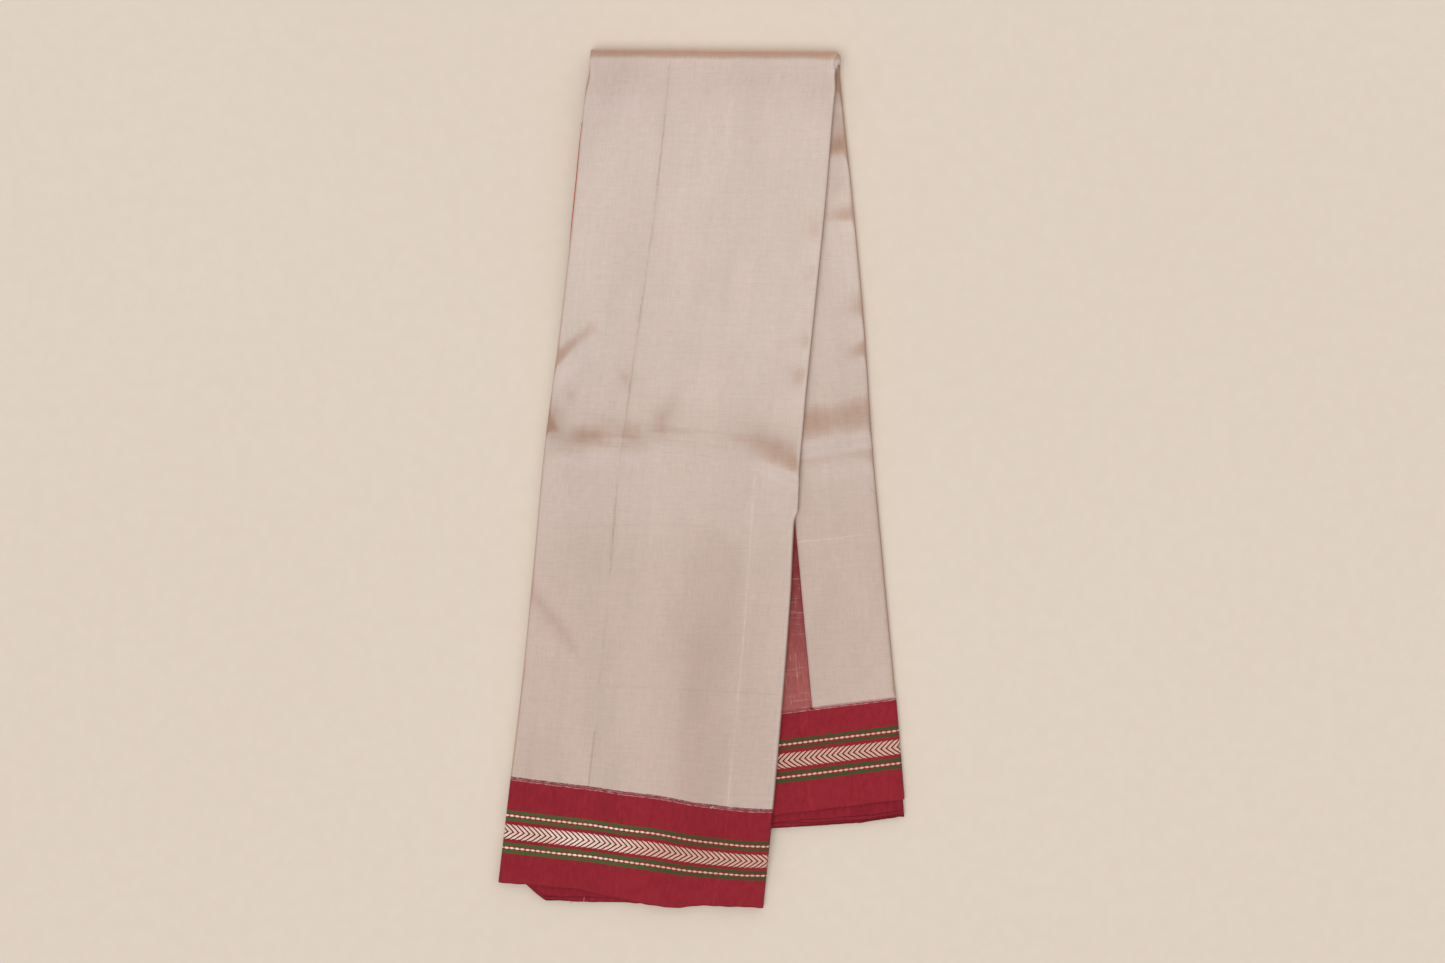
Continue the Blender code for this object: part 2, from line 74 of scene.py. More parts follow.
# Sections across each flap: how far down from the fold, the left edge's X, the width, and how
# much lower the right end lies
FRONT_SECTIONS = (
    # name        down    left    width  slant
    ("fold", 0.0, -81.4, 184.7, 3.7),
    ("roll", 17.6, -82.3, 180.8, 0.6),
    ("shoulder", 31.0, -84.9, 183.4, 1.4),
    ("quarter", 119.0, -94.1, 184.9, 1.4),
    ("third", 207.0, -104.4, 186.0, 3.6),
    ("crease", 295.5, -116.0, 189.0, 5.8),
    ("middle", 383.5, -124.2, 190.7, 7.3),
    ("lower", 472.0, -133.0, 192.5, 11.0),
    ("join", 537.3, -140.9, 193.5, 23.1),
    ("hem", 613.7, -149.9, 195.5, 19.1),
)
BACK_SECTIONS = (
    # name        down    left    width  slant
    ("fold", 0.0, -81.4, 184.7, 3.7),
    ("roll", 17.6, -80.5, 182.7, 0.0),
    ("shoulder", 32.3, -79.0, 182.3, -1.4),
    ("quarter", 120.5, -71.7, 184.2, -1.4),
    ("third", 211.0, -65.0, 185.5, -3.6),
    ("crease", 302.8, -58.4, 184.8, -7.3),
    ("middle", 393.2, -51.1, 185.6, -9.5),
    ("lower", 479.2, -45.2, 187.4, -13.2),
    ("join", 501.3, -43.0, 186.7, -23.2),
    ("hem", 575.5, -37.1, 187.0, -22.8),
)
SECTIONS = {"front": FRONT_SECTIONS, "back": BACK_SECTIONS}

# How far the front flap's join and hem hang below a straight line, by the share of its width
JOIN_DIP = ((0.0, 0.0), (0.2, 0.3), (0.4, 0.1), (0.54, -0.1), (0.73, 1.9), (0.88, 1.7), (1.0, 0.0))
FRONT_HEM_DIP = (
    (0.0, 0.0),
    (0.28, -0.5),
    (0.43, 2.6),
    (0.64, 6.4),
    (0.75, 3.1),
    (0.85, 1.5),
    (1.0, 0.0),
)

# How far the inner layers' hems reach below the straight line of the top cloth's hem, by the
# share of the width
FRONT_INNER_REACH = (
    (0.0, -0.6),
    (0.095, -0.6),
    (0.18, 10.7),
    (0.33, 8.5),
    (0.48, 5.9),
    (0.62, 5.8),
    (0.75, 2.4),
    (1.0, -0.6),
)
BACK_INNER_REACH = (
    (0.0, 6.0),
    (0.48, 9.4),
    (0.70, 12.0),
    (0.82, 13.4),
    (1.0, 12.8),
)

# Where the weft turns red, in from the back flap's right edge, and how wide the red end has to
# be beside the tucked edge to get cloth of its own
PALLU_FROM_RIGHT = 62.0
PALLU_OPENS = 4.0

# Down from the fold, where the front flap's right edge juts out and where it has stepped back,
# and how far
JUT_FROM, JUT_TO, STEP_TO = 290.0, 333.0, 341.0
BACK_OUT_FROM, BACK_OUT_TO = 345.0, 400.0
JUT_OUT, STEP_IN = 1.1, 1.2

# The old fold across the bundle: a ridge that climbs slowly from the fold's side and drops fast
RIDGE_DOWN = 290.0
RIDGE_HIGH = 2.2
RIDGE_UPPER_SIDE = 31.0
RIDGE_LOWER_SIDE = 10.0
SOLID_RIDGE_SIDES = (36.0, 18.0)

# How the back flap's ridge climbs to the right of a level point, and the small second step
# below it
BACK_RIDGE_LEAN = 0.16
BACK_RIDGE_LEVEL_X = 80.0
BACK_STEP = {"down": 309.0, "above": 12.0, "below": 14.0, "height": 0.4}

# The front flap lies flatter than the solid over the ridge, by this share of the ridge's height
FRONT_RIDGE_LOSES = 0.7

# The gentle swell of both faces: the waves' length in x and in y, and their height. Each face
# has its own seed
SWELLS = ((61, 83, 0.16), (37, 118, 0.12), (23, 41, 0.06), (95, 29, 0.07), (14, 52, 0.04))
SWELL_SEEDS = {"front": 0.4, "back": 2.9}

# The back flap's relief fades out below the front flap's edge, and the front flap's where it
# leaves the roll
RELIEF_FADES_UNDER = 12.0
RELIEF_STARTS_OVER = 14.0

# Soft folds: each has its crest from one point to another, left to right, its own width above
# and below that line, and its height at the start, in the middle and at the end
SOFT_FOLDS = (
    # name            flap     x0      y0      x1      y1     above below heights
    ("left_streak", "front", -112.0, 76.0, -76.0, 111.0, 6.5, 9.0, 2.2, 1.6, 0.1),
    ("left_edge", "front", -115.0, 33.0, -105.0, 36.0, 14.0, 7.0, 2.6, 1.7, 0.2),
    ("left_spot", "front", -101.0, 53.0, -90.0, 54.0, 10.0, 8.0, 0.1, 0.9, 0.1),
    ("left_dot", "front", -62.0, 65.0, -51.0, 67.0, 9.0, 7.0, 0.1, 0.7, 0.3),
    ("cross_left", "front", -112.0, 19.0, -65.0, 21.0, 15.0, 7.0, 0.8, 2.2, 0.3),
    ("cross_small", "front", -63.0, 20.0, -40.0, 20.5, 12.0, 7.0, 0.2, 1.1, 0.2),
    ("cross_middle", "front", -42.0, 28.0, -18.0, 29.0, 19.0, 9.0, 0.4, 1.3, 0.3),
    ("cross_right", "front", 32.0, 17.0, 72.0, 0.5, 15.0, 4.5, 0.4, 2.1, 2.7),
    ("right_top", "front", 84.0, 262.0, 99.0, 264.0, 12.0, 8.0, 0.2, 0.8, 1.4),
    ("right_high", "front", 72.0, 168.0, 91.0, 172.0, 15.0, 8.0, 0.1, 0.8, 1.3),
    ("right_upper", "front", 70.0, 133.0, 86.0, 138.0, 17.0, 9.0, 0.1, 0.9, 1.3),
    ("right_brown", "front", 68.0, 92.0, 82.0, 94.0, 10.0, 7.0, 0.1, 0.7, 1.3),
    ("right_middle", "front", 60.0, 59.0, 82.0, 67.0, 18.0, 9.0, 0.3, 1.2, 1.7),
    ("left_hip", "front", -131.0, -87.0, -102.0, -136.0, 9.0, 16.0, 0.8, 0.7, 0.0),
    ("left_foot", "front", -134.0, -150.0, -126.0, -225.0, 8.0, 12.0, 0.5, 0.4, 0.0),
    ("top_left", "front", -88.0, 279.0, -30.0, 283.0, 12.0, 8.0, 1.6, 0.7, 0.0),
    ("back_strip", "back", 97.0, 282.0, 109.0, 284.0, 11.0, 9.0, 1.5, 1.6, 1.6),
    ("back_top", "back", 84.0, 233.0, 112.0, 236.0, 13.0, 9.0, 1.8, 1.9, 1.7),
    ("back_upper", "back", 94.0, 187.0, 115.0, 190.0, 8.0, 8.0, 0.5, 0.9, 1.1),
    ("back_middle", "back", 104.0, 116.0, 121.0, 118.0, 14.0, 10.0, 0.3, 1.0, 1.5),
    ("back_edge", "back", 106.0, 81.0, 122.0, 89.0, 9.0, 7.0, 0.3, 1.0, 1.5),
    ("back_low", "back", 95.0, -66.0, 108.0, -18.0, 5.0, 7.0, 0.0, 0.5, 0.0),
    ("back_corner", "back", 119.0, 4.0, 130.0, 13.0, 5.0, 4.0, 0.0, 0.4, 0.5),
)

# Lines where the cloth was pressed before. Height is under 0 for a groove; tone over 0 is painted
# shade, darker and warmer, and tone under 0 is painted light. A groove is drawn as a thin line of
# painted shade, an edge as a thin painted highlight, a wrinkle as a faint line of painted shade, and
# a soft line is only painted shade where its tone is over 0 and painted light where it is under 0
CREASES = (
    # flap    mark       height  width  tone  points of the line
    ("front", "groove", -0.35, 2.0, 0.25,
     ((-23.5, 304), (-25.4, 278), (-29.3, 242), (-35.6, 186), (-43.4, 131), (-48.5, 95), (-53.7, 58),
      (-58.7, 21), (-61.6, 0), (-67, -70))),
    ("front", "wrinkle", -0.15, 2.0, 0.10, ((-67, -66), (-70.3, -107), (-76, -160))),
    ("front", "groove", -0.25, 2.0, 0.15, ((-78.4, -184), (-80.1, -199), (-84, -231))),
    ("front", "edge", -0.15, 2.0, -0.2, ((-85.6, -234), (-88.5, -262), (-92.2, -292))),
    ("front", "edge", 0.35, 2.2, -0.2,
     ((38.9, 1), (36.8, -30), (31.8, -104), (27, -159), (21.5, -214), (16.8, -269), (9, -312))),
    ("front", "soft", 0.16, 3.0, -0.15, ((22, 300), (14, 180), (8, 60), (3, -12))),
    ("front", "soft", 0.0, 15.0, 0.26, ((8, -30), (2, -100), (-7, -170), (-13, -290))),
    ("front", "soft", 0.0, 12.0, 0.22, ((22, -40), (17, -110), (9, -190), (3, -290))),
    ("front", "soft", 0.0, 15.0, 0.2, ((-4, -110), (-10, -170), (-15, -290))),
    ("front", "soft", 0.0, 14.0, 0.16, ((8, -160), (0, -220), (-6, -290))),
    ("front", "soft", 0.0, 4.0, 0.6, ((-127, -82), (-119, -91), (-110, -102), (-99, -116), (-91, -132))),
    ("front", "soft", 0.0, 9.0, 0.3, ((-127, -180), (-128, -220), (-130, -240))),
    # Painted shadow in the notch by the turned corner, and painted shade down the back flap's strip beside
    # the front flap's edge
    ("front", "soft", 0.0, 0.8, 4.0, ((102.9, 309), (102.2, 305.8), (100.7, 303), (99.3, 300), (98.9, 295))),
    ("back", "soft", 0.0, 1.2, 4.5, ((104.0, 309), (102.4, 305), (100.0, 300.5), (99.0, 293))),
    ("back", "soft", 0.0, 6.0, 1.7, ((99.6, 304), (100.2, 296), (101.5, 284), (102.0, 270))),
    ("back", "soft", 0.0, 7.0, 1.0, ((101.5, 276), (100.8, 258), (100.2, 236))),
    ("back", "soft", 0.0, 7.0, 0.55, ((100.4, 232), (99.5, 218), (98, 204))),
    # Painted shade just below the roll
    ("front", "soft", 0.0, 26.0, 0.45, ((-95, 292), (0, 291), (110, 288))),
    # Painted light on the turned corner's facet
    ("front", "soft", 0.0, 3.2, -1.3, ((101, 313), (99, 306), (98, 298))),
    ("front", "soft", 0.0, 14.0, 0.25, ((-116, 38), (-40, 36), (20, 30), (80, 22))),
    ("front", "soft", 0.0, 6.0, 1.2, ((-107.5, 60), (-109.5, 42), (-112, 24))),
    ("front", "soft", 0.0, 5.0, 0.8, ((-100, 68), (-93, 57))),
    ("front", "soft", 0.0, 5.0, 0.6, ((-58, 82), (-54, 66))),
    ("front", "soft", 0.0, 9.5, 0.6, ((-112, 29), (-98, 29.5), (-84, 31), (-68, 33))),
    ("front", "soft", 0.0, 6.5, 0.5, ((-63, 24), (-50, 26.5), (-35, 29))),
    ("front", "soft", 0.0, 6.5, 0.6, ((-17, 64), (-25, 49), (-35, 33))),
    ("front", "soft", 0.0, 11.0, 0.6, ((29, 21), (45, 29), (57, 24), (67, 10))),
    ("front", "soft", 0.0, 6.0, 0.45, ((77, 84), (71.5, 72), (65, 63))),
    ("front", "soft", 0.0, 24.0, -0.2, ((-124, -22), (-20, -20), (70, -18))),
    ("back", "edge", -0.15, 2.0, -0.2, ((72.4, -173), (76.4, -208), (80.5, -244))),
    ("back", "soft", 0.0, 12.0, -0.35, ((70, 4), (100, 7), (136, 10))),
    ("front", "wrinkle", -0.16, 2.4, 0.10, ((-92, 34.4), (-52, 31), (-8, 27), (26, 22))),
    ("front", "wrinkle", -0.16, 2.4, 0.10, ((-70, 43), (-51, 41), (14, 33.5), (40, 31))),
    ("front", "wrinkle", -0.10, 2.4, 0.05, ((-92, 47.5), (-58, 46))),
    ("front", "wrinkle", -0.10, 2.4, 0.05, ((-96, 38.8), (-46, 36), (-16, 32.6))),
    ("front", "wrinkle", -0.10, 2.4, 0.05, ((-94, 27.6), (-60, 26.5), (-30, 23))),
    ("front", "wrinkle", -0.08, 2.4, 0.08, ((-62, 22), (-42, 21), (8, 16.5))),
    ("front", "wrinkle", -0.12, 2.4, 0.10, ((-105, 21.8), (-92, 21.3), (-80, 21.6))),
    ("front", "wrinkle", 0.0, 2.4, 0.08, ((-106, -156), (-60, -152), (-22, -154), (56, -158))),
    ("front", "wrinkle", 0.0, 2.4, 0.06, ((-98, -36), (-40, -33), (0, -35))),
    ("back", "edge", 0.10, 2.2, -0.1, ((70, -46.5), (100, -43.5), (131, -40))),
    ("back", "wrinkle", -0.10, 2.4, 0.15, ((115, -20), (117, -36))),
    ("back", "groove", -0.25, 2.2, 0.15, ((124.2, -6.5), (129.5, -12))),
    ("back", "edge", 0.20, 2.2, -0.12, ((76, -150), (78, -178), (82, -250))),
    ("back", "wrinkle", -0.15, 2.2, 0.20, ((70.5, -168), (74, -200), (77, -236))),
)
MARKS = ("groove", "edge", "wrinkle")

# The distance given to points that have no such line near them
FAR_OFF = 1e3

# A pressed line is marked unevenly, a wide one less so, and it fades towards its ends. A drawn
# mark stops there, because points beyond its end count as this much further off
WIDE_LINE = 4.0
NARROW_SWING, WIDE_SWING = 0.28, 0.07
SWING_LENGTH = 13.0
LINE_FADES = 12.0
ENDS_KEEP = 0.25
LINE_END, BEYOND_END = 0.5, 1.5

# How strongly the right edge gets painted shade where it drops and painted light where it starts to
# round off, and how much of that the lower flap loses. Both come in between two steepnesses
EDGE_PAINTED_SHADE, EDGE_PAINTED_LIGHT = 3.0, 0.8
DROPS, ROUNDS_OFF = (0.62, 0.95), (0.05, 0.5)
LOWER_EDGE_LOSES = 0.65

# What counts as turned away, for the painted brown shade: the gentle part of the roll by this share,
# and the right side from this steepness on
ROLL_COUNTS = 0.32
RIGHT_SIDE_COUNTS_FROM = 0.76

# The woven border, in millimetres from the join
LINE_BANDS = ((22.9, 25.3), (28.3, 30.5), (46.4, 49.0), (51.8, 54.4))
DASH_ROWS = (26.7, 50.4)
DASH_ROW_SHIFT = 0.31
DASH_REPEAT = 3.85
CHEVRON_BAND = (33.1, 43.9)
CHEVRON_REPEAT = 4.0
CHEVRON_SLOPE = 1.2

# Added to a count of repeats, so that none is under 0
WHOLE_REPEATS = 100.0

# The lower flap shows the cloth's other long edge, which has its pattern this much nearer the
# join; the shift comes in over the plain red before the pattern
BACK_PATTERN_SHIFT = 3.1
SHIFT_OVER = (2.0, 14.0)


def smooth_step(low, high, value):
    """0 below low, 1 above high, and a smooth rise between them."""
    share = np.clip((np.asarray(value, float) - low) / (high - low), 0, 1)
    return share * share * (3 - 2 * share)


def along_rows(rows, key, column, at):
    """A smooth curve through one column of a table, read at values of its key column."""
    keys = np.array([row[key] for row in rows], float)
    values = np.array([row[column] for row in rows], float)
    steps = np.diff(values) / np.diff(keys)
    before, after = steps[:-1], steps[1:]
    same = before * after > 0
    tangents = np.concatenate(([steps[0]], np.zeros(len(before)), [steps[-1]]))
    tangents[1:-1] = np.where(same, 2 * before * after / np.where(same, before + after, 1), 0)
    at = np.asarray(at, float)
    i = np.clip(np.searchsorted(keys, at, side="right") - 1, 0, len(keys) - 2)
    span = keys[i + 1] - keys[i]
    share = (at - keys[i]) / span
    t = np.clip(share, 0, 1)
    curve = (
        values[i] * (1 + 2 * t) * (1 - t) ** 2
        + tangents[i] * span * t * (1 - t) ** 2
        + values[i + 1] * t * t * (3 - 2 * t)
        + tangents[i + 1] * span * t * t * (t - 1)
    )
    return curve + steps[i] * span * (share - t)


def straight_rows(rows, at):
    """A broken line through a table of two columns."""
    return np.interp(at, [row[0] for row in rows], [row[1] for row in rows])


def section(flap, down):
    """Left edge's X, width and slant of a flap at a distance down from the fold."""
    return [along_rows(SECTIONS[flap], 1, column, down) for column in (2, 3, 4)]


def named(flap, name):
    """How far down a named section lies."""
    return next(row[1] for row in SECTIONS[flap] if row[0] == name)


FRONT_JOIN, FRONT_HEM = named("front", "join"), named("front", "hem")
BACK_JOIN, BACK_HEM = named("back", "join"), named("back", "hem")
JOINS = {"front": FRONT_JOIN, "back": BACK_JOIN}


def front_dip(down, across):
    """How far the front flap's weave lines hang below a straight section."""
    join, hem = along_rows(JOIN_DIP, 0, 1, across), along_rows(FRONT_HEM_DIP, 0, 1, across)
    above = join * smooth_step(named("front", "lower"), FRONT_JOIN, down)
    share = np.clip((down - FRONT_JOIN) / (FRONT_HEM - FRONT_JOIN), 0, 1)
    return np.where(down <= FRONT_JOIN, above, join + (hem - join) * share**6)


def front_nudge(down, across):
    """The front flap's right edge juts out a little, and just below it steps back."""
    stepped = smooth_step(JUT_TO, STEP_TO, down)
    out = JUT_OUT * smooth_step(JUT_FROM, JUT_TO, down) * (1 - stepped)
    back = STEP_IN * stepped * (1 - smooth_step(BACK_OUT_FROM, BACK_OUT_TO, down))
    return (out - back) * smooth_step(0.75, 1.0, across)


def plan(flap, down, inward):
    """Where a point of a flap lies, seen from above."""
    left, width, slant = section(flap, down)
    across = inward / width
    dip, nudge = 0.0, 0.0
    if flap == "front":
        dip, nudge = front_dip(down, across), front_nudge(down, across)
    return left + inward + nudge, FOLD_LINE_Y - down - slant * across - dip


def back_hem_line(x):
    """Y of the lowest hem of the back flap."""
    left, width, slant = section("back", BACK_HEM)
    across = np.clip((x - left) / width, 0, 1)
    reach = straight_rows(BACK_INNER_REACH, across)
    return FOLD_LINE_Y - BACK_HEM - slant * across - reach


def step_across(y, down, above, below):
    """A smooth step across a flap: 1 on its crest, which lies this far down from the fold."""
    rise = smooth_step(down - above, down, FOLD_LINE_Y - y)
    return rise * (1 - smooth_step(down, down + below, FOLD_LINE_Y - y))


def solid_ridge(y):
    """Height of the old fold's ridge where the two flaps lie on each other."""
    return step_across(y, RIDGE_DOWN, *SOLID_RIDGE_SIDES)


def back_ridge(x, y):
    """What the back flap's face has over that ridge."""
    level = y - BACK_RIDGE_LEAN * (x - BACK_RIDGE_LEVEL_X)
    crest = step_across(level, RIDGE_DOWN, RIDGE_UPPER_SIDE, RIDGE_LOWER_SIDE)
    second = step_across(level, BACK_STEP["down"], BACK_STEP["above"], BACK_STEP["below"])
    return RIDGE_HIGH * crest + BACK_STEP["height"] * second - solid_ridge(y)


def soft_folds(flap, x, y):
    """Height of the soft folds on a flap's face."""
    height = np.zeros(np.broadcast(x, y).shape)
    for _, side, x0, y0, x1, y1, above, below, *highs in SOFT_FOLDS:
        if side != flap:
            continue
        away, share = from_line(x, y, (x0, y0), (x1, y1))
        is_above = (x1 - x0) * (y - y0) - (y1 - y0) * (x - x0) > 0
        width = np.where(is_above, above, below)
        height += np.interp(share, (0.0, 0.5, 1.0), highs) * np.exp(-((away / width) ** 2))
    return height


def from_line(x, y, start, end):
    """Distance of points from a straight stretch, and the nearest point's share along it."""
    run = np.subtract(end, start).astype(float)
    share = ((x - start[0]) * run[0] + (y - start[1]) * run[1]) / (run @ run)
    share = np.clip(share, 0, 1)
    away = np.hypot(x - start[0] - run[0] * share, y - start[1] - run[1] * share)
    return away, share


def crease_field(flap, x, y):
    """Height, and painted shade and light, that the pressed lines give to points of a flap's face."""
    height, tone = np.zeros(np.shape(x)), np.zeros(np.shape(x))
    for number, (side, _, high, width, dark, line) in enumerate(CREASES):
        if side != flap:
            continue
        away, gone, length = from_crease(x, y, line)
        swing = NARROW_SWING if width < WIDE_LINE else WIDE_SWING
        uneven = 1 - swing + swing * np.sin(gone / SWING_LENGTH + 2.1 * number)
        ends = smooth_step(0, LINE_FADES, gone) * smooth_step(0, LINE_FADES, length - gone)
        strength = uneven * (ENDS_KEEP + (1 - ENDS_KEEP) * ends)
        shape = np.exp(-np.abs(away / width) ** 1.5) * strength
        height += high * shape
        tone += dark * shape
    return height, tone


def from_crease(x, y, line):
    """Signed distance from a line of several stretches, how far along it, and its length."""
    away, gone, passed = np.full(np.shape(x), FAR_OFF), np.zeros(np.shape(x)), 0.0
    for start, end in zip(line, line[1:]):
        distance, share = from_line(x, y, start, end)
        length = math.dist(start, end)
        side = (end[0] - start[0]) * (y - start[1]) - (end[1] - start[1]) * (x - start[0])
        nearer = distance < np.abs(away)
        away = np.where(nearer, np.where(side > 0, distance, -distance), away)
        gone = np.where(nearer, passed + share * length, gone)
        passed += length
    return away, gone, passed


def line_marks(flap, x, y):
    """Painted shade and light of the pressed lines, and the distance to the nearest line of each mark."""
    _, tone = crease_field(flap, x, y)
    marks = {"painted_crease_and_edge_tone": tone, "lower": np.full(np.shape(x), flap == "back")}
    for mark in MARKS:
        nearest = np.full(np.shape(x), FAR_OFF)
        for side, kind, _, _, _, line in CREASES:
            if side == flap and kind == mark:
                away, gone, length = from_crease(x, y, line)
                at_end = (gone < LINE_END) | (gone > length - LINE_END)
                away = np.where(at_end, away + np.copysign(BEYOND_END, away), away)
                nearest = np.where(np.abs(away) < np.abs(nearest), away, nearest)
        marks[mark] = nearest
    return marks


def slow_swell(x, y, seed):
    """The gentle unevenness of pressed silk."""
    swell = np.zeros(np.shape(x))
    for number, (long_x, long_y, high) in enumerate(SWELLS):
        turn = seed + 1.7 * number
        swell += high * np.sin(x / long_x * 2.4 + turn) * np.sin(y / long_y * 2.4 + 2 * turn)
    return swell


def face_relief(flap, x, y):
    """Height that the folds and creases add to the upward face of a flap."""
    height, _ = crease_field(flap, x, y)
    height = height + slow_swell(x, y, SWELL_SEEDS[flap])
    height = height + soft_folds(flap, x, y)
    if flap == "front":
        return height - FRONT_RIDGE_LOSES * solid_ridge(y)
    return height + back_ridge(x, y)


def front_right_edge(y):
    """X of the front flap's right edge at a level."""
    down = FOLD_LINE_Y - y
    left, width, _ = section("front", down)
    return left + width


def front_support(x, y, down):
    """Height of what the front flap's underside lies on: the back flap, or past it the floor."""
    past_left = np.maximum(0.0, section("back", FOLD_LINE_Y - y)[0] - x)
    past_hem = np.maximum(0.0, back_hem_line(x) - y)
    held = 1 - smooth_step(SAG_STARTS, SAG_ENDS, np.hypot(past_left, past_hem))
    loop = 2 * FOLD_RADIUS - 2 * STACK - SEAM
    loop = loop * (1 - smooth_step(FOLD_RADIUS, FOLD_RADIUS + FOLD_SETTLES, down))
    return held * (STACK + SEAM + solid_ridge(y) + loop)


def place(station, inward, depth):
    """Points of the bundle at one station of the ribbon, as an array of rows x, y, z."""
    part, at = station
    inward, depth = np.broadcast_arrays(np.asarray(inward, float), np.asarray(depth, float))
    if part == "back":
        x, y = plan("back", at, inward)
        z = depth * (1 + solid_ridge(y) / STACK)
        shows = smooth_step(-RELIEF_FADES_UNDER, 0, x - front_right_edge(y))
        shows = shows * smooth_step(STACK / 2, STACK, depth)
        z = z + face_relief("back", x, y) * shows
    elif part == "front":
        x, y = plan("front", at, inward)
        settled = smooth_step(FOLD_RADIUS, FOLD_RADIUS + RELIEF_STARTS_OVER, at)
        swell = face_relief("front", x, y) * settled
        z = front_support(x, y, at) + (STACK - depth) * (1 + swell / STACK)
    else:
        left, width, slant = fold_section(at)
        angle, radius = math.radians(at), FOLD_RADIUS - depth
        x = left + inward
        y = FOLD_LINE_Y - FOLD_RADIUS - slant * inward / width + radius * math.cos(angle)
        z = FOLD_RADIUS + radius * math.sin(angle)
    return np.stack([x, y, z], -1)


def fold_section(angle):
    """Left edge's X, width and slant of the bundle at an angle round the fold."""
    turned = (angle + 90) / 180
    back, front = section("back", FOLD_RADIUS), section("front", FOLD_RADIUS)
    return [b + (f - b) * turned for b, f in zip(back, front)]


def width_at(station):
    """The bundle's width at a station."""
    part, at = station
    return float(fold_section(at)[1] if part == "fold" else section(part, at)[1])


def from_join(station):
    """Distance of a station past the join of field and border; under 0 it is in the field."""
    part, at = station
    if part == "fold":
        return FOLD_RADIUS * (1 - math.radians(90 - at)) - FRONT_JOIN
    past = at - JOINS[part]
    shift = BACK_PATTERN_SHIFT * float(smooth_step(*SHIFT_OVER, past))
    return past + shift * (part == "back")


def even(start, end, step):
    """Even steps from start to end, about as long as step."""
    return list(np.linspace(start, end, max(2, int(round(abs(end - start) / step)) + 1)))


def new_mesh(name, points, faces, cloth_at, material, marks=None):
    """A mesh object in metres, with its place on the cloth as a UV map, and marks for painted shade and
    light.
    """
    mesh = bpy.data.meshes.new(name)
    mesh.from_pydata((np.asarray(points) * MM).tolist(), [], [list(face) for face in faces])
    mesh.update()
    corners = np.zeros(len(mesh.loops), np.int32)
    mesh.loops.foreach_get("vertex_index", corners)
    layer = mesh.uv_layers.new(name="cloth")
    layer.uv.foreach_set("vector", (np.asarray(cloth_at)[corners] * MM).astype(np.float32).ravel())
    normals = np.zeros(3 * len(mesh.vertices), np.float32)
    mesh.vertex_normals.foreach_get("vector", normals)
    values = {mark: np.full(len(points), FAR_OFF) for mark in MARKS}
    values.update({"painted_crease_and_edge_tone": np.zeros(len(points)), "lower": np.zeros(len(points))})
    values.update(marks or {})
    to_right, to_fold, _ = normals.reshape(-1, 3).T
    # Painted shade and light on the right edge, less on the lower flap, join the pressed lines' painted tone
    edge = painted_edge_light_and_shade(to_right) * (1 - LOWER_EDGE_LOSES * values["lower"])
    values["painted_crease_and_edge_tone"] = values["painted_crease_and_edge_tone"] + edge
    values["turned"] = turn_for_painted_shade(np.asarray(points)[:, 1], to_right, to_fold)
    for label, numbers in values.items():
        attribute = mesh.attributes.new(label, "FLOAT", "POINT")
        attribute.data.foreach_set("value", np.asarray(numbers, np.float32))
    mesh.materials.append(material)
    mesh.shade_smooth()
    piece = bpy.data.objects.new(name, mesh)
    bpy.context.scene.collection.objects.link(piece)
    return piece


def turn_for_painted_shade(y, to_right, to_fold):
    """How far cloth turns towards the fold's side, which the material paints as brown shade; the roll counts
    less.
    """
    on_roll = y > FOLD_LINE_Y - FOLD_RADIUS - 4
    steep = np.abs(to_fold)
    rolled = np.sign(to_fold) * np.maximum(ROLL_COUNTS * steep, steep**2.5)
    away = np.where(on_roll, rolled, to_fold)
    return away + np.clip(to_right - RIGHT_SIDE_COUNTS_FROM, 0, 1 - RIGHT_SIDE_COUNTS_FROM)


def painted_edge_light_and_shade(to_right):
    """Painted light on the right edge where it starts to round off, and painted shade where it drops."""
    drops, rounds_off = smooth_step(*DROPS, to_right), smooth_step(*ROUNDS_OFF, to_right)
    return EDGE_PAINTED_SHADE * drops - EDGE_PAINTED_LIGHT * rounds_off


def grid_faces(rows, columns, start=0, flip=False):
    """The squares of a grid of points, in rows."""
    faces = []
    for i in range(rows - 1):
        for j in range(columns - 1):
            a = start + i * columns + j
            square = (a, a + columns, a + columns + 1, a + 1)
            faces.append(square[::-1] if flip else square)
    return faces


def cloth_wall(name, outer, inner, cloth_at, material, flap=None):
    """A thin closed cloth between an outer and an inner grid of points."""
    rows, columns = outer.shape[:2]
    shift = rows * columns
    points = np.concatenate([outer.reshape(-1, 3), inner.reshape(-1, 3)])
    faces = grid_faces(rows, columns) + grid_faces(rows, columns, shift, flip=True)
    for i in range(rows - 1):
        a, b = i * columns, (i + 1) * columns
        faces.append((a, a + shift, b + shift, b))
        a, b = a + columns - 1, b + columns - 1
        faces.append((a, b, b + shift, a + shift))
    for j in range(columns - 1):
        a, b = j, (rows - 1) * columns + j
        faces.append((a, a + 1, a + 1 + shift, a + shift))
        faces.append((b, b + shift, b + shift + 1, b + 1))
    cloth_at = np.concatenate([cloth_at.reshape(-1, 2)] * 2)
    marks = line_marks(flap, points[:, 0], points[:, 1]) if flap else None
    return new_mesh(name, points, faces, cloth_at, material, marks)


def cloth_across(inward, depth):
    """How far in from the left edge each point of a row is, measured on the cloth itself."""
    steps = np.hypot(np.diff(inward), np.diff(depth))
    gone = np.concatenate(([0.0], np.cumsum(steps)))
    first_flat = int(np.argmax(inward >= LEFT_ROUND - 1e-6))
    return gone - gone[first_flat] + inward[first_flat]


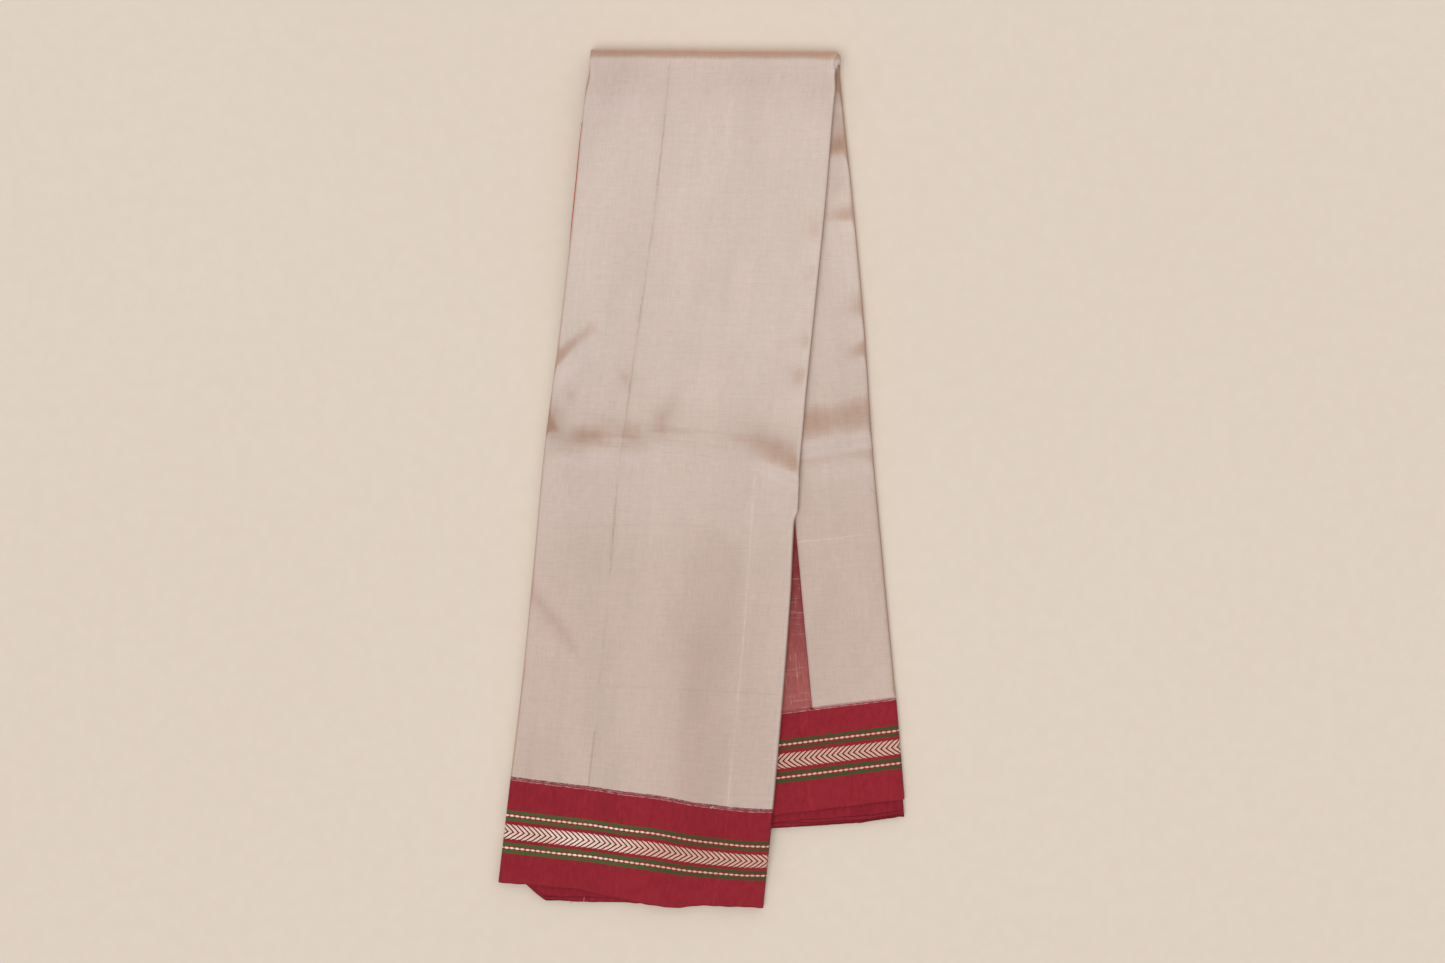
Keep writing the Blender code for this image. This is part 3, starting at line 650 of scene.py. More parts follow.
def right_wrap(width, raised):
    """Inward distance and depth of cloth round the right edge, until it is tucked under."""
    radius = RIGHT_ROUND - CLOTH + raised
    turns = np.radians(np.linspace(80, -90, 15))
    centre = width - RIGHT_ROUND
    return centre + radius * np.cos(turns), RIGHT_ROUND - radius * np.sin(turns)


def left_wrap(raised):
    """Inward distance and depth of cloth round the left edge, down to where the layers part."""
    radius = LEFT_ROUND - CLOTH + raised
    turns = np.radians(np.linspace(-90, 75, 10))
    return LEFT_ROUND - radius * np.cos(turns), LEFT_ROUND - radius * np.sin(turns)


def hem_waver(flap, inward):
    """How unevenly a hem is cut, in millimetres."""
    seed = 0.0 if flap == "front" else 4.0
    return 0.22 * np.sin(inward / 5.1 + seed) + 0.14 * np.sin(inward / 1.9 + 2 * seed)


def front_row(station, raised):
    """Inward distance and depth of the front cloth, from the left edge's parting to the right."""
    width = width_at(station)
    flat = np.linspace(LEFT_ROUND, width - RIGHT_ROUND, 86)
    left, right = left_wrap(raised), right_wrap(width, raised)
    inward = np.concatenate([left[0], flat, right[0]])
    return inward, np.concatenate([left[1], np.full(len(flat), CLOTH - raised), right[1]])


def back_row(station, raised, first_edge, last_edge=None):
    """The same of the back flap's upper cloth, from first_edge to last_edge or round the right."""
    width, down = width_at(station), station[1]
    if last_edge:
        flat = np.linspace(first_edge(down), last_edge(down), 16)
        return flat, np.full(len(flat), CLOTH - raised)
    flat = np.linspace(first_edge(down), width - RIGHT_ROUND, 30)
    right = right_wrap(width, raised)
    depth = np.concatenate([np.full(len(flat), CLOTH - raised), right[1]])
    return np.concatenate([flat, right[0]]), depth


def flap_cloth(name, stations, material, row_at, flap="front", hem=False):
    """Cloth on a flap's upward face, as wide at each station as row_at says."""
    outer, inner, cloth_at = [], [], []
    for station in stations:
        for raised, rows in ((CLOTH, outer), (0.0, inner)):
            inward, depth = row_at(station, raised)
            row = place(station, inward, depth if flap == "front" else STACK - depth)
            if hem and station == stations[-1]:
                row[:, 1] -= hem_waver(flap, inward)
            rows.append(row)
        across = cloth_across(inward, depth) * (1 if flap == "front" else -1)
        cloth_at.append(np.stack([across, np.full(len(across), from_join(station))], -1))
    grids = (np.array(rows) for rows in (outer, inner, cloth_at))
    return cloth_wall(name, *grids, material, flap)


def tuck_edge(down):
    """Inward distance, on the back flap, of a line that lies tucked under the front flap."""
    left, width, slant = section("back", down)
    level = FOLD_LINE_Y - down - slant
    front_left, front_width, _ = section("front", FOLD_LINE_Y - level)
    return float(min(front_left + front_width - TUCK_UNDER - left, width - 2 * TUCK_UNDER))


def pallu_edge(down):
    """Inward distance, on the back flap, of the line where the weft turns red."""
    return width_at(("back", down)) - PALLU_FROM_RIGHT


def pallu_shows(down):
    """Whether the red end of the saree reaches out from under the front flap here."""
    return pallu_edge(down) > tuck_edge(down) + PALLU_OPENS


def tucked(down):
    """Inward distance, on the back flap, where its cloth starts under the front flap."""
    return tuck_edge(down) + 1


def field_edge(down):
    """Inward distance, on the back flap, where the beige cloth starts."""
    return pallu_edge(down) if pallu_shows(down) else tucked(down)


# The left edge of the stack, from the outward face to the inward one: how deep each fold's nose
# lies and how far in from the edge, under the top cloth and where the stack is bare
LEFT_NOSES = (
    # depth, inset under cloth   depth, inset where bare
    (1.0, 1.9, 0.35, 0.75),
    (1.9, 1.3, 1.5, 0.05),
    (2.5, 1.5, 2.9, 0.2),
    (4.45, 1.2, 4.45, 1.1),
    (4.95, 0.55, 4.95, 0.5),
    (5.45, 0.9, 5.45, 0.9),
    (5.95, 0.35, 5.95, 0.3),
    (6.5, 0.8, 6.5, 0.8),
    (7.05, 0.5, 7.05, 0.45),
    (7.6, 0.9, 7.6, 0.9),
)

# How much further in than its noses a valley reaches, and the wide one over this nose, where the
# layers part
VALLEY_IN, PARTING_IN = 0.75, 2.9
PARTING_NOSE = 3


def left_profile(station, cover):
    """Inward distance and depth of the layered left edge at a station."""
    at = station[1]
    shape = [(2.0, CORE_DEPTH * cover)]
    last = None
    for number, (deep, inset, bare_deep, bare_inset) in enumerate(LEFT_NOSES):
        depth = bare_deep + (deep - bare_deep) * cover
        nose = bare_inset + (inset - bare_inset) * cover
        nose += 0.16 * math.sin(at / (19 + 5 * number) + 2.3 * number)
        nose += 0.07 * math.sin(at / 6.1 + 1.3 * number)
        nose = max(nose, 0.02)
        if last is not None:
            valley_in = PARTING_IN if number == PARTING_NOSE else VALLEY_IN
            shape.append((max(nose, last[0]) + valley_in, (last[1] + depth) / 2))
        shape += [(nose + 0.22, depth - 0.17), (nose, depth), (nose + 0.22, depth + 0.17)]
        last = (nose, depth)
    shape += [(last[0] + 0.7, 7.85), (last[0] + 1.4, STACK)]
    return np.array(shape)


def pressed_layers(material):
    """All the layers that the top cloth hides, doubled over, with their edges on the left."""
    back = even(BACK_HEM - HEM_PULL, FOLD_RADIUS + 1.2, 3.0)
    stations = [("back", down) for down in back]
    stations += [("fold", angle) for angle in (-90, -82, -70, -60, -50, *range(-40, 91, 10))]
    stations += [("front", down) for down in even(FOLD_RADIUS + 3, FRONT_HEM - HEM_PULL, 3.0)]
    points, cloth_at = [], []
    for station in stations:
        part, at = station
        width = width_at(station)
        cover = {"back": 0.0, "front": 1.0}.get(part, float(smooth_step(-83, -70, at)))
        left = left_profile(station, cover)
        core_round = RIGHT_ROUND - CORE_DEPTH
        turns = np.radians(np.linspace(90, -90, 13))
        centre = width - RIGHT_ROUND
        right = (centre + core_round * np.cos(turns), RIGHT_ROUND - core_round * np.sin(turns))
        right = np.stack(right, -1)
        brink = centre - CORE_DEPTH
        ledge = tuck_edge(at) if part == "back" else width / 2
        under = STACK - CORE_DEPTH if part == "back" else STACK
        top = [(ledge * share, STACK) for share in np.linspace(0.06, 1.0, 24)]
        top = [*top, *((e, under) for e in np.linspace(ledge + 0.6, brink, 24))]
        bottom = [(e, CORE_DEPTH * cover) for e in np.linspace(brink, 6.0, 48)]
        ring = np.concatenate([left, top, right[::-1], bottom])
        points.append(place(station, ring[:, 0], ring[:, 1]))
        across = -ring[:, 0] if part == "back" else ring[:, 0]
        cloth_at.append(np.stack([across, np.full(len(ring), from_join(station))], -1))
    faces = ring_faces(len(points), len(points[0]))
    points, cloth_at = np.concatenate(points), np.concatenate(cloth_at)
    return new_mesh("pressed_layers", points, faces, cloth_at, material)


def ring_faces(rings, count):
    """The faces of a closed body that is a row of rings of points."""
    faces = []
    for i in range(rings - 1):
        a, b = i * count, (i + 1) * count
        for j in range(count):
            k = (j + 1) % count
            faces.append((a + j, a + k, b + k, b + j))
    faces.append(tuple(reversed(range(count))))
    faces.append(tuple((rings - 1) * count + j for j in range(count)))
    return faces


# The hems of the inner layers: each leaf's first and last depth, and how far it falls short
HEM_LEAVES = (
    # top   bottom  short
    (1.30, 1.85, 4.2),
    (1.95, 2.50, 2.6),
    (2.60, 3.20, 0.6),
    (3.30, 3.85, 1.2),
    (3.95, 4.55, 0.0),
    (4.65, 5.20, 1.0),
    (5.30, 5.90, 0.3),
    (6.00, 6.60, 1.3),
    (6.70, 7.25, 0.4),
    (7.35, 8.00, 0.9),
)


def inner_hem(name, flap, hem, reach_table, material):
    """The hems of the inner layers, leaf on leaf, which have slipped out below the top cloth."""
    width = width_at((flap, hem))
    last = width - RIGHT_ROUND
    core_round = RIGHT_ROUND - CORE_DEPTH
    flat = np.linspace(LEFT_ROUND + SEAM, last - CORE_DEPTH, 96)
    half_thick = np.full(len(flat), RIGHT_ROUND)
    turns = np.radians((88, 70, 50, 30, 12))
    inward = np.concatenate([flat, last + core_round * np.cos(turns)])
    half_thick = np.concatenate([half_thick, core_round * np.sin(turns)])
    across = inward / width
    dip = along_rows(FRONT_HEM_DIP, 0, 1, across) if flap == "front" else 0.0
    reach = np.maximum(-0.6, straight_rows(reach_table, across) - dip)
    points, faces, cloth_at = [], [], []
    start = SEAM - HEM_PULL
    for number, (top, bottom, short) in enumerate(HEM_LEAVES):
        waver = 0.25 * np.sin(inward / 6.3 + 1.9 * number) + 0.2 * np.sin(inward / 2.3 + number)
        slip = 0.7 * np.sin(inward / 31 + 2.7 * number)
        end = np.maximum(reach - short + waver + slip * (reach > 1), start + 1.5)
        end = np.minimum(end, reach + 0.4)
        ring = []
        middle = (top + bottom) / 2
        profile = ((0.0, top), (0.5, top), (0.9, top), (1.0, middle), (0.9, bottom))
        profile = (*profile, (0.5, bottom), (0.0, bottom))
        for share, deep in profile:
            full = core_round if deep < RIGHT_ROUND else RIGHT_ROUND
            squeezed = RIGHT_ROUND + (deep - RIGHT_ROUND) * np.minimum(1.0, half_thick / full)
            squeezed = squeezed if flap == "front" else STACK - squeezed
            down = hem + start + (end - start) * share
            ring.append(place((flap, down), across * section(flap, down)[1], squeezed))
            cloth_at.append(np.stack([inward, down - JOINS[flap]], -1))
        base, columns, rows = sum(len(p) for p in points), len(inward), len(ring)
        points += ring
        faces += leaf_faces(base, rows, columns)
    points, cloth_at = np.concatenate(points), np.concatenate(cloth_at)
    return new_mesh(name, points, faces, cloth_at, material)


def leaf_faces(base, rows, columns):
    """The faces of one leaf: its two sides with the hem between them, its ends and its root."""
    faces = grid_faces(rows, columns, base)
    first = [base + i * columns for i in range(rows)]
    last = [base + i * columns + columns - 1 for i in range(rows)]
    faces.append(tuple(reversed(first)))
    faces.append(tuple(last))
    root = base + (rows - 1) * columns
    for j in range(columns - 1):
        faces.append((base + j + 1, base + j, root + j, root + j + 1)[::-1])
    return faces


def tube(points, radius, sides=6):
    """Points and faces of a thread along a line of points, tapered at its ends."""
    points = np.asarray(points, float)
    along = np.gradient(points, axis=0)
    along /= np.linalg.norm(along, axis=1, keepdims=True)
    up = np.where(np.abs(along[:, 2:3]) > 0.9, [[1.0, 0, 0]], [[0, 0, 1.0]])
    side = np.cross(along, up)
    side /= np.linalg.norm(side, axis=1, keepdims=True)
    top = np.cross(side, along)
    thick = radius * np.minimum(1, 0.35 + 2.5 * np.sin(np.linspace(0, math.pi, len(points))))
    turns = np.arange(sides) * 2 * math.pi / sides
    rings = points[:, None] + thick[:, None, None] * (
        side[:, None] * np.cos(turns)[None, :, None] + top[:, None] * np.sin(turns)[None, :, None]
    )
    return rings.reshape(-1, 3), ring_faces(len(points), sides)


def threads(name, lines, radius, material):
    """Many short threads, as one piece."""
    points, faces, base = [], [], 0
    for line in lines:
        tube_points, tube_faces = tube(line, radius)
        points.append(tube_points)
        faces += [tuple(base + v for v in face) for face in tube_faces]
        base += len(tube_points)
    points = np.concatenate(points)
    return new_mesh(name, points, faces, points[:, :2], material)


def on_face(flap, down, inward, lift):
    """A point that lies on a flap's upward face, raised by lift."""
    depth = -lift if flap == "front" else STACK + lift
    return place((flap, float(down)), float(inward), depth)


def join_stitches(flap, start, end, random):
    """The turns of weft that lock the field to the border, one after another along the join."""
    lines = []
    inward = start
    while inward < end:
        down = JOINS[flap] + random.normal(-0.3, 0.35)
        reach = random.uniform(0.05, 0.4)
        lean = random.uniform(0.5, 1.5)
        lift = random.uniform(0.05, 0.14)
        line = []
        for share in np.linspace(-1, 1, 5):
            rise = lift + 0.1 * (1 - share * share)
            line.append(on_face(flap, down + reach * share, inward + lean * share, rise))
        lines.append(line)
        inward += random.uniform(0.7, 2.6)
    return lines


class Value:
    """A value in a node tree, for which the signs of arithmetic add Math nodes."""

    def __init__(self, graph, socket):
        self.graph, self.socket = graph, socket

    def __add__(self, other):
        return self.graph.math("ADD", self, other)

    __radd__ = __add__

    def __sub__(self, other):
        return self.graph.math("SUBTRACT", self, other)

    def __mul__(self, other):
        return self.graph.math("MULTIPLY", self, other)

    def __truediv__(self, other):
        return self.graph.math("DIVIDE", self, other)

    def __abs__(self):
        return self.graph.math("ABSOLUTE", self)


class Graph:
    """Adds nodes to a tree, so that a formula of the weave reads as a few lines."""

    def __init__(self, tree):
        self.tree = tree

    def node(self, kind, **settings):
        made = self.tree.nodes.new(kind)
        for name, value in settings.items():
            setattr(made, name, value)
        return made

    def put(self, socket, value):
        if isinstance(value, Value):
            self.tree.links.new(value.socket, socket)
        else:
            socket.default_value = value

    def result(self, made, inputs, output):
        """Fills some inputs of a node, and gives one of its outputs."""
        for label, value in inputs.items():
            self.put(made.inputs[label], value)
        return Value(self, made.outputs[output])

    def math(self, operation, a, b=0.0, clamp=False):
        made = self.node("ShaderNodeMath", operation=operation, use_clamp=clamp)
        return self.result(made, {0: a, 1: b}, 0)

    def capped_sum(self, a, b):
        """The sum of two values, kept between 0 and 1."""
        return self.math("ADD", a, b, clamp=True)

    def ramp(self, value, low, high, to_low=0.0, to_high=1.0):
        """A smooth change from to_low, where value is low, to to_high, where it is high."""
        made = self.node("ShaderNodeMapRange", interpolation_type="SMOOTHSTEP")
        return self.result(made, dict(enumerate((value, low, high, to_low, to_high))), "Result")

    def between(self, value, low, high, soft):
        """1 where value lies between low and high, with soft edges."""
        rise = self.ramp(value, low - soft, low + soft)
        fall = self.ramp(value, high - soft, high + soft)
        return self.math("SUBTRACT", rise, fall, clamp=True)

    def mix(self, factor, a, b):
        made = self.node("ShaderNodeMix", data_type="RGBA")
        return self.result(made, {"Factor": factor, "A": a, "B": b}, "Result")

    def noise(self, vector, scale, detail, roughness=0.5):
        """Noise that is scale times as fine as its vector: one number, or one for x and for y."""
        if isinstance(scale, tuple):
            stretched = self.node("ShaderNodeVectorMath", operation="MULTIPLY")
            vector = self.result(stretched, {0: vector, 1: (*scale, 1.0)}, 0)
            scale = 1.0
        inputs = {"Vector": vector, "Scale": scale, "Detail": detail, "Roughness": roughness}
        return self.result(self.node("ShaderNodeTexNoise"), inputs, "Fac")

    def parts(self, vector):
        """The x and the y of a vector."""
        made = self.node("ShaderNodeSeparateXYZ")
        self.put(made.inputs[0], vector)
        return Value(self, made.outputs[0]), Value(self, made.outputs[1])

    def where(self):
        """Where a point lies on its object."""
        return self.result(self.node("ShaderNodeTexCoord"), {}, "Object")

    def mark(self, name):
        """One of the marks that each mesh carries."""
        return self.result(self.node("ShaderNodeAttribute", attribute_name=name), {}, "Fac")

    def toned(self, shade, *tones):
        """A colour made lighter or darker by the product of some tones."""
        product = tones[0]
        for tone in tones[1:]:
            product = product * tone
        made = self.node("ShaderNodeVectorMath", operation="SCALE")
        return self.result(made, {0: shade, "Scale": product}, 0)


def new_group(name, inputs, outputs):
    """An empty shader node group: its graph, what it is given and its output sockets."""
    group = bpy.data.node_groups.new(name, "ShaderNodeTree")
    for label, value in inputs.items():
        kind = {3: "Vector", 4: "Color"}[len(value)] if isinstance(value, tuple) else "Float"
        socket = group.interface.new_socket(label, in_out="INPUT", socket_type="NodeSocket" + kind)
        socket.default_value = value
    for label in outputs:
        kind = "Color" if label == "Color" else "Float"
        group.interface.new_socket(label, in_out="OUTPUT", socket_type="NodeSocket" + kind)
    g = Graph(group)
    sockets = g.node("NodeGroupInput").outputs
    given = {label: Value(g, sockets[label]) for label in inputs}
    return group, g, given, g.node("NodeGroupOutput").inputs


def colour(red, green, blue):
    """A colour given as the eye sees it, 0 to 255, as the linear light that the shader takes."""
    linear = [
        v / 12.92 if v <= 0.04045 else ((v + 0.055) / 1.055) ** 2.4
        for v in (c / 255 for c in (red, green, blue))
    ]
    return (*linear, 1.0)


ANYWHERE = (0, 0, 0)
BLACK = (0, 0, 0, 1)


def silk_weave_group():
    """Fine uneven threads both ways, with a slub here and there."""
    inputs = {"Cloth": ANYWHERE, "Slub": 0.5, "Strength": 1.0}
    group, g, given, out = new_group("Silk Weave", inputs, ("Tone", "Height"))
    cloth = given["Cloth"]
    fine = g.noise(cloth, (900, 110), 2.0, 0.6) + g.noise(cloth, (110, 900), 2.0, 0.6)
    broad = g.noise(cloth, (260, 10), 3.0, 0.55) + g.noise(cloth, (20, 420), 3.0, 0.55)
    slub = g.ramp(g.noise(cloth, (90, 900), 1.0), 0.68, 0.78) * given["Slub"]
    tone = (fine - 1.0) * 0.17 + (broad - 1.0) * 0.09 + slub * -0.06
    g.put(out["Tone"], tone * given["Strength"] + 1.0)
    g.put(out["Height"], fine + broad * 0.3 + slub)
    return group


# How the marks of the pressed lines are drawn: half width in millimetres, and change of tone,
# painted shade for grooves and wrinkles and a painted highlight for edges
DRAWN_LINES = (("Groove", 0.65, -0.09), ("Edge", 0.6, 0.13), ("Wrinkle", 0.5, -0.06))


def drift_and_painted_shade_group():
    """The slow change of tone and hue over pressed silk, with painted shade and light where it turns and
    along its pressed lines.
    """
    inputs = {"Cloth": ANYWHERE, "Painted Crease And Edge Tone": 0.0, "Turned": 0.0}
    inputs.update({label: FAR_OFF for label, _, _ in DRAWN_LINES})
    outputs = ("Tone", "Hue", "Painted Brown Shade", "Painted Cool Light", "Height")
    group, g, given, out = new_group("Slow Drift And Painted Shade", inputs, outputs)
    cloth, painted_crease_and_edge_tone = given["Cloth"], given["Painted Crease And Edge Tone"]
    broad, patch = g.noise(cloth, (14, 5), 3.0), g.noise(cloth, (60, 26), 4.0, 0.6)
    tone = g.ramp(broad, 0.3, 0.7, -0.04, 0.04) + g.ramp(patch, 0.3, 0.7, -0.02, 0.02)
    tone = tone - painted_crease_and_edge_tone * 0.11

    # Where silk turns towards the fold's side it gets painted brown shade, less so where it stands
    # upright, and its steepest parts a painted highlight; where it turns towards the light, painted light
    turned = given["Turned"] + (patch - 0.5) * 0.12
    upright = g.ramp(turned, 0.8, 1.0, 1.0, 0.5)
    away = (g.ramp(turned, 0.0, 0.14) * 0.78 + g.ramp(turned, 0.1, 0.6, 0.0, 0.22)) * upright
    painted_highlight = g.ramp(turned, 0.25, 0.8) * upright
    painted_light_facing = g.ramp(given["Turned"], 0.0, -0.14)
    tone = tone + painted_light_facing * 0.04 + painted_highlight * 0.5
    # The pressed lines' painted shade also warms the colour and their painted light cools it, as does the
    # painted light where the cloth turns towards the light
    painted_warm_shade = g.math("MULTIPLY", painted_crease_and_edge_tone, 0.3, clamp=True)
    painted_cool_light = g.math("MAXIMUM", g.math("MULTIPLY", painted_crease_and_edge_tone, -1.2, clamp=True), painted_light_facing * 0.6)

    # The pressed lines, drawn as painted shade and painted highlights, sway a little and fade here and there
    worn, long_worn = g.noise(cloth, (160, 160), 3.0, 0.6), g.noise(cloth, (20, 26), 2.0)
    fading = g.ramp(worn, 0.3, 0.62, 0.4, 1.0) * g.ramp(long_worn, 0.35, 0.6, 0.3, 1.0)
    sway = (worn - 0.5) * 1.6
    raised = 0.0
    for label, wide, strength in DRAWN_LINES:
        off = abs(given[label] + sway)
        line = g.ramp(off, wide + 0.45, wide - 0.35) * fading
        tone = tone + line * strength
        raised = raised + line * (4 * strength)
        if label == "Groove":
            painted_warm_shade = painted_warm_shade + line * 0.3
    g.put(out["Height"], raised)
    g.put(out["Tone"], tone + 1.0)
    g.put(out["Hue"], g.ramp(g.noise(cloth, (320, 120), 4.0, 0.7), 0.35, 0.65))
    g.put(out["Painted Brown Shade"], g.capped_sum(away, painted_warm_shade))
    g.put(out["Painted Cool Light"], painted_cool_light)
    return group


def woven_border_group():
    """Green lines, cream dashes and a cream chevron band on a red ground, by millimetres."""
    inputs = {"Cloth": ANYWHERE, "Ground": BLACK, "Painted Sheen Dimming": 0.0}
    group, g, given, out = new_group("Woven Border", inputs, ("Color", "Height", "Pattern"))
    cloth, painted_sheen_dimming = given["Cloth"], given["Painted Sheen Dimming"]
    wobble = (g.noise(cloth, (250, 250), 2.0) - 0.5) * 0.5
    across, past_join = (part * (1 / MM) + wobble for part in g.parts(cloth))
    worn = g.noise(cloth, (700, 700), 2.0, 0.6)
    green, cream, dark = 0.0, 0.0, 0.0
    for low, high in LINE_BANDS:
        green = g.capped_sum(green, g.between(past_join, low, high, 0.22))

    # Each dash is a bead, and a faint line joins the beads of a row
    repeat = across / DASH_REPEAT
    for number, middle in enumerate(DASH_ROWS):
        along = g.math("FRACT", repeat + (DASH_ROW_SHIFT * number + WHOLE_REPEATS))
        along = (along - 0.5) / 0.38
        over = abs(past_join - middle)
        far = g.math("POWER", abs(along), 2.6) + over * over * 1.9
        bead = g.math("MAXIMUM", g.ramp(far, 1.6, 0.5), g.ramp(over, 0.6, 0.35, 0.0, 0.3))
        cream = g.capped_sum(cream, bead)
        dark = g.capped_sum(dark, g.between(past_join, middle - 1.3, middle + 1.3, 0.2))

    # Each chevron is one bar of its band with its point in the middle
    low, high = CHEVRON_BAND
    middle, half = (low + high) / 2, (high - low) / 2
    off_middle = abs(past_join - middle)
    along = g.math("FRACT", (off_middle * CHEVRON_SLOPE + across) / CHEVRON_REPEAT + WHOLE_REPEATS)
    off_line = abs(along - 0.5)
    bar = g.ramp(off_line, 0.36, 0.25) * g.ramp(off_line, 0.02, 0.08, 0.93, 1.0)
    outside = off_middle + g.ramp(along, 0.44, 0.56, 0.0, 0.5)
    bar = bar * g.ramp(outside, half + 0.3, half - 0.2)
    cream = g.capped_sum(cream, bar * g.ramp(off_middle, 0.0, 0.35, 0.8, 1.0))

    shimmer = g.noise(cloth, (22, 60), 3.0)
    bright = g.ramp(shimmer + worn * 0.35, 0.5, 0.85)
    green_ink = g.mix(shimmer, colour(40, 100, 54), colour(74, 90, 52))
    # The dimming paints the green and cream inks darker, as painted shade where the sheen is weaker
    green_ink = g.mix(painted_sheen_dimming * 0.6, green_ink, colour(46, 54, 38))
    cream_ink = g.mix(bright, colour(232, 202, 184), colour(250, 234, 220))
    cream_ink = g.mix(painted_sheen_dimming, cream_ink, colour(212, 170, 150))
    shade = g.mix(dark * 0.7, given["Ground"], colour(118, 24, 34))
    shade = g.mix(g.between(past_join, low + 0.3, high - 0.3, 0.3), shade, colour(100, 28, 30))
    shade = g.mix(green * 0.95, shade, green_ink)
    g.put(out["Color"], g.mix(cream * 0.92, shade, cream_ink))
    g.put(out["Height"], green * 0.35 + cream)
    g.put(out["Pattern"], g.capped_sum(green, cream))
    return group


def locked_join_group():
    """The few picks beside the join, where the red weft shows through the field's warp."""
    inputs = {"Cloth": ANYWHERE, "Faint": 0.0, "Base": BLACK, "Line": BLACK, "Halo": BLACK}
    group, g, given, out = new_group("Locked Join", inputs, ("Color",))
    cloth = given["Cloth"]
    ragged = g.noise(cloth, (260, 1100), 2.0, 0.6)
    patchy = g.noise(cloth, (120, 40), 2.0, 0.6)
    past_join = g.parts(cloth)[1] * (1 / MM) + (patchy - 0.5)
    halo = g.between(past_join, 0.5, 1.15, 0.2) * g.ramp(ragged, 0.38, 0.6, 0.1, 0.85)
    line = g.between(past_join, -1.7, 0.6, 0.35) * g.ramp(ragged, 0.66, 0.48, 0.4, 0.97)
    line = line * g.ramp(given["Faint"], 0.0, 1.0, 1.0, 0.38)
    shade = g.mix(halo, given["Base"], given["Halo"])
    g.put(out["Color"], g.mix(line, shade, given["Line"]))
    return group


def new_material(name):
    """An empty material with its graph and shader."""
    material = bpy.data.materials.new(name)
    material.use_nodes = True
    return material, Graph(material.node_tree), material.node_tree.nodes["Principled BSDF"]


def finish_silk(g, shader, shade, height, sheen, rough, strength=0.25, glow=0.12):
    """Sets a silk shader from its colour and height."""
    bump = {"Strength": strength, "Distance": 0.00012, "Height": height}
    values = {
        "Normal": g.result(g.node("ShaderNodeBump"), bump, "Normal"),
        "Base Color": shade,
        "Roughness": rough,
        "Sheen Weight": glow,
        "Sheen Roughness": 0.4,
        "Sheen Tint": sheen,
        "Specular IOR Level": 0.22,
        "Specular Tint": sheen,
    }
    for label, value in values.items():
        g.put(shader.inputs[label], value)


class Silk:
    """A silk material on the cloth, with its weave and its slow drift of tone, painted shade and light."""

    def __init__(self, name, groups, slub=1.0, strength=1.0):
        self.material, self.g, self.shader = new_material(name)
        self.groups = groups
        self.cloth = self.g.result(self.g.node("ShaderNodeUVMap", uv_map="cloth"), {}, 0)
        marks = {mark.capitalize(): self.g.mark(mark) for mark in MARKS}
        marks.update({"Painted Crease And Edge Tone": self.g.mark("painted_crease_and_edge_tone"), "Turned": self.g.mark("turned")})
        self.weave = self.use("weave", {"Slub": slub, "Strength": strength})
        self.drift = self.use("drift", marks)

    def use(self, group, values):
        """Places a node group on the cloth, and gives its outputs."""
        made = self.g.node("ShaderNodeGroup", node_tree=self.groups[group])
        for label, value in {"Cloth": self.cloth, **values}.items():
            self.g.put(made.inputs[label], value)
        return {socket.name: Value(self.g, socket) for socket in made.outputs}

    def joined(self, base, line, halo, faint):
        """A colour with the locked join drawn over it."""
        values = {"Faint": faint, "Base": base, "Line": colour(*line), "Halo": colour(*halo)}
        return self.use("join", values)["Color"]

    def finish(self, shade, sheen, rough, tones=(), height=None, **more):
        """Sets the shader from a colour, with the tones and the height of the weave."""
        shade = self.g.toned(shade, self.weave["Tone"], self.drift["Tone"], *tones)
        height = height or self.weave["Height"]
        finish_silk(self.g, self.shader, shade, height, sheen, rough, **more)
        return self.material


BEIGE = colour(212, 196, 187)
BEIGE_ROSE = colour(213, 194, 186)
BEIGE_STRAW = colour(209, 195, 184)
BEIGE_WARM = colour(205, 180, 168)
BEIGE_PAINTED_LIGHT = colour(207, 191, 185)
BEIGE_PAINTED_SHADE = colour(182, 147, 127)
RED = colour(146, 43, 52)
RED_DEEP = colour(136, 38, 49)
ROSE = colour(167, 97, 93)
ROSE_DEEP = colour(122, 50, 54)
INNER_ROSE = colour(196, 62, 50)
BROWN_SHEEN = colour(200, 160, 140)
RED_SHEEN = colour(190, 60, 70)


def beige_silk(groups):
    """The field: cream and rose threads crossed, with the join at its lower edge."""
    silk = Silk("beige_silk", groups)
    g, drift = silk.g, silk.drift
    _, past_join = g.parts(silk.cloth)
    base = g.mix(drift["Hue"], BEIGE_ROSE, BEIGE_STRAW)
    base = g.mix(g.ramp(past_join, -0.36, -0.10, 0.0, 0.6), base, BEIGE_WARM)
    # Painted light where the cloth turns towards the light and along pale pressed lines, then painted brown
    # shade where it turns towards the fold's side and along dark ones
    base = g.mix(drift["Painted Cool Light"], base, BEIGE_PAINTED_LIGHT)
    base = g.mix(drift["Painted Brown Shade"], base, BEIGE_PAINTED_SHADE)
    shade = silk.joined(base, (138, 56, 70), (206, 164, 158), g.mark("lower"))
    fall = g.ramp(past_join, -0.36, -0.10, 0.985, 0.905)
    height = silk.weave["Height"] + drift["Height"]
    return silk.finish(shade, BROWN_SHEEN, 0.5, [fall], height, glow=0.4)


